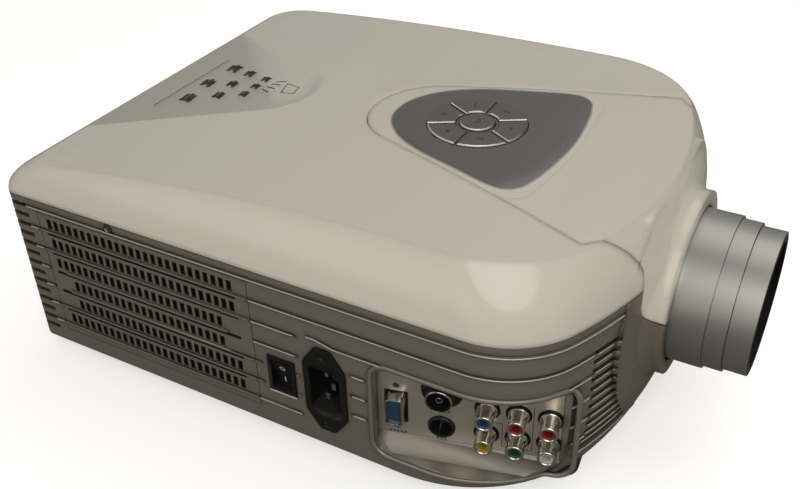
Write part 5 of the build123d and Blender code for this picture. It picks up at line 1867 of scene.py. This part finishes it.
@dataclass
class Insides:
    """Light path, fans, boards, speaker, feet and screws."""

    shop: Workshop
    socket_front_x: float = -0.05

    def build(self) -> None:
        """Dress everything else."""
        plan = {
            "optics_tunnel": GREY_PLASTIC, "fresnel_front": LENS_GLASS,
            "fresnel_rear": LENS_GLASS, "lcd_panel": LENS_GLASS, "heat_glass": LENS_GLASS,
            "condenser_lens": LENS_GLASS, "lamp_reflector": MIRROR, "lamp_bulb": LENS_GLASS,
            "lamp_holder": GREY_PLASTIC, "exhaust_fan_frame": BLACK_PLASTIC,
            "intake_fan_frame": BLACK_PLASTIC, "power_board": BOARD_GREEN,
            "power_parts": BLACK_PLASTIC, "main_board": BOARD_GREEN, "speaker": BLACK_PLASTIC,
            "front_feet": DARK_RUBBER, "rear_feet": DARK_RUBBER, "casing_screws": STEEL,
        }
        for node, finish in plan.items():
            self.shop.dress(node, Body.CASING, finish)
        screws = self.shop.dress("side_screws", Body.CASING, DULL_STEEL)
        screws.data.materials.append(BLACK_PLASTIC.material(self.shop.groups))
        for polygon in screws.data.polygons:
            polygon.material_index = 1 if polygon.center.x > self.socket_front_x else 0
        self.shop.dress("exhaust_fan_rotor", Body.EXHAUST, BLACK_PLASTIC)
        self.shop.dress("intake_fan_rotor", Body.INTAKE, BLACK_PLASTIC)


@dataclass
class Studio:
    """Floor, light and camera."""

    eye: Point = (201.0, -388.48, 354.95)
    azimuth: float = 29.52
    elevation: float = 34.60
    roll: float = 1.47
    lens: float = 44.01
    sensor: float = 36.0
    clip_start: float = 0.01
    floor_size: float = 4.0
    floor_glow: float = 0.55
    far_glow: float = 0.85
    glow_first: float = 0.6
    glow_last: float = 1.8
    sky_strength: float = 0.30
    aim: Point = (0, 0, 0.06)
    lamp_colour: Colour = (1.0, 0.97, 0.92)

    def build(self) -> None:
        """Set the studio up."""
        self._floor()
        self._world()
        self._lamps()
        self._camera()

    def _floor(self) -> None:
        """Pale floor that takes the shadow and shows as white."""
        mesh = bpy.data.meshes.new("floor")
        corners = ((-1, -1, 0), (1, -1, 0), (1, 1, 0), (-1, 1, 0))
        mesh.from_pydata([Vector(c) * self.floor_size for c in corners], [], [(0, 1, 2, 3)])
        material = bpy.data.materials.new("floor_paper")
        material.use_nodes = True
        wires = Wires(material.node_tree)
        rays = wires.add("ShaderNodeLightPath").outputs
        place = wires.add("ShaderNodeTexCoord").outputs["Object"]
        reach = wires.add("ShaderNodeVectorMath", {0: place}, operation="LENGTH")
        spread = {
            "Value": reach.outputs["Value"], "From Min": self.glow_first,
            "From Max": self.glow_last, "To Min": self.floor_glow, "To Max": self.far_glow,
        }
        glow = wires.add("ShaderNodeMapRange", spread).outputs["Result"]
        plain, mirrored = (0.80, 0.80, 0.79, 1), (0.16, 0.155, 0.14, 1)
        values = {
            "Roughness": 0.9,
            "Base Color": wires.mix(rays["Is Glossy Ray"], plain, mirrored),
            "Emission Strength": wires.math("MULTIPLY", rays["Is Camera Ray"], glow),
            "Emission Color": (1.0, 1.0, 1.0, 1.0),
        }
        wires.feed(wires.tree.nodes["Principled BSDF"], values)
        mesh.materials.append(material)
        floor = link_object("floor", mesh)

    def _world(self) -> None:
        """Even sky that shows white to the camera."""
        world = bpy.data.worlds.new("studio")
        bpy.context.scene.world = world
        world.use_nodes = True
        wires = Wires(world.node_tree)
        sky = wires.tree.nodes["Background"]
        wires.feed(sky, {"Color": (1.0, 0.98, 0.94, 1), "Strength": self.sky_strength})
        white = wires.add("ShaderNodeBackground", {"Color": (1.0, 1.0, 1.0, 1), "Strength": 1.0})
        seen = wires.add("ShaderNodeLightPath").outputs["Is Camera Ray"]
        values = {"Fac": seen, 1: sky.outputs[0], 2: white.outputs[0]}
        both = wires.add("ShaderNodeMixShader", values).outputs[0]
        wires.feed(wires.tree.nodes["World Output"], {"Surface": both})

    def _lamps(self) -> None:
        """Large soft lamps above and beside the object."""
        for name, place, size, power in (
            ("key_light", (0.35, 0.75, 1.5), 1.8, 8.0),
            ("fill_light", (0.65, -1.15, 1.15), 1.5, 11.0),
            ("side_light", (-0.5, -1.5, 0.10), 1.4, 3.0),
        ):
            lamp = bpy.data.lights.new(name, "AREA")
            lamp.shape, lamp.size = "DISK", size
            lamp.energy, lamp.color = power, self.lamp_colour
            obj = link_object(name, lamp)
            obj.location = place
            aim = Vector(self.aim) - Vector(place)
            obj.rotation_euler = aim.to_track_quat("-Z", "Y").to_euler()

    def _camera(self) -> None:
        """Camera at the photograph's angle."""
        turn, tilt, lean = (math.radians(v) for v in (self.azimuth, self.elevation, self.roll))
        level = Vector((math.cos(turn), math.sin(turn), 0))
        ahead = Vector((-level.y * math.cos(tilt), level.x * math.cos(tilt), -math.sin(tilt)))
        up = level.cross(ahead)
        right = level * math.cos(lean) - up * math.sin(lean)
        axes = Matrix((right, right.cross(ahead), -ahead)).transposed()
        data = bpy.data.cameras.new("camera")
        data.lens, data.sensor_width, data.clip_start = self.lens, self.sensor, self.clip_start
        camera = link_object("camera", data)
        place = Vector(self.eye) + Vector((STATION_SHIFT, 0, 0))
        camera.matrix_world = Matrix.Translation(place * MM) @ axes.to_4x4()
        bpy.context.scene.camera = camera


def main() -> None:
    """Build every sub-assembly in order."""
    shop = Workshop(ShaderGroups(), CasingForm(), RepeatTrees())
    Studio().build()
    for part in (Casing, Keypad, Sockets, PowerEntry, LensUnit, Insides):
        part(shop).build()
    bpy.context.scene.view_settings.view_transform = "Standard"
    LOG.info("sizes written")


if __name__ == "__main__":
    main()
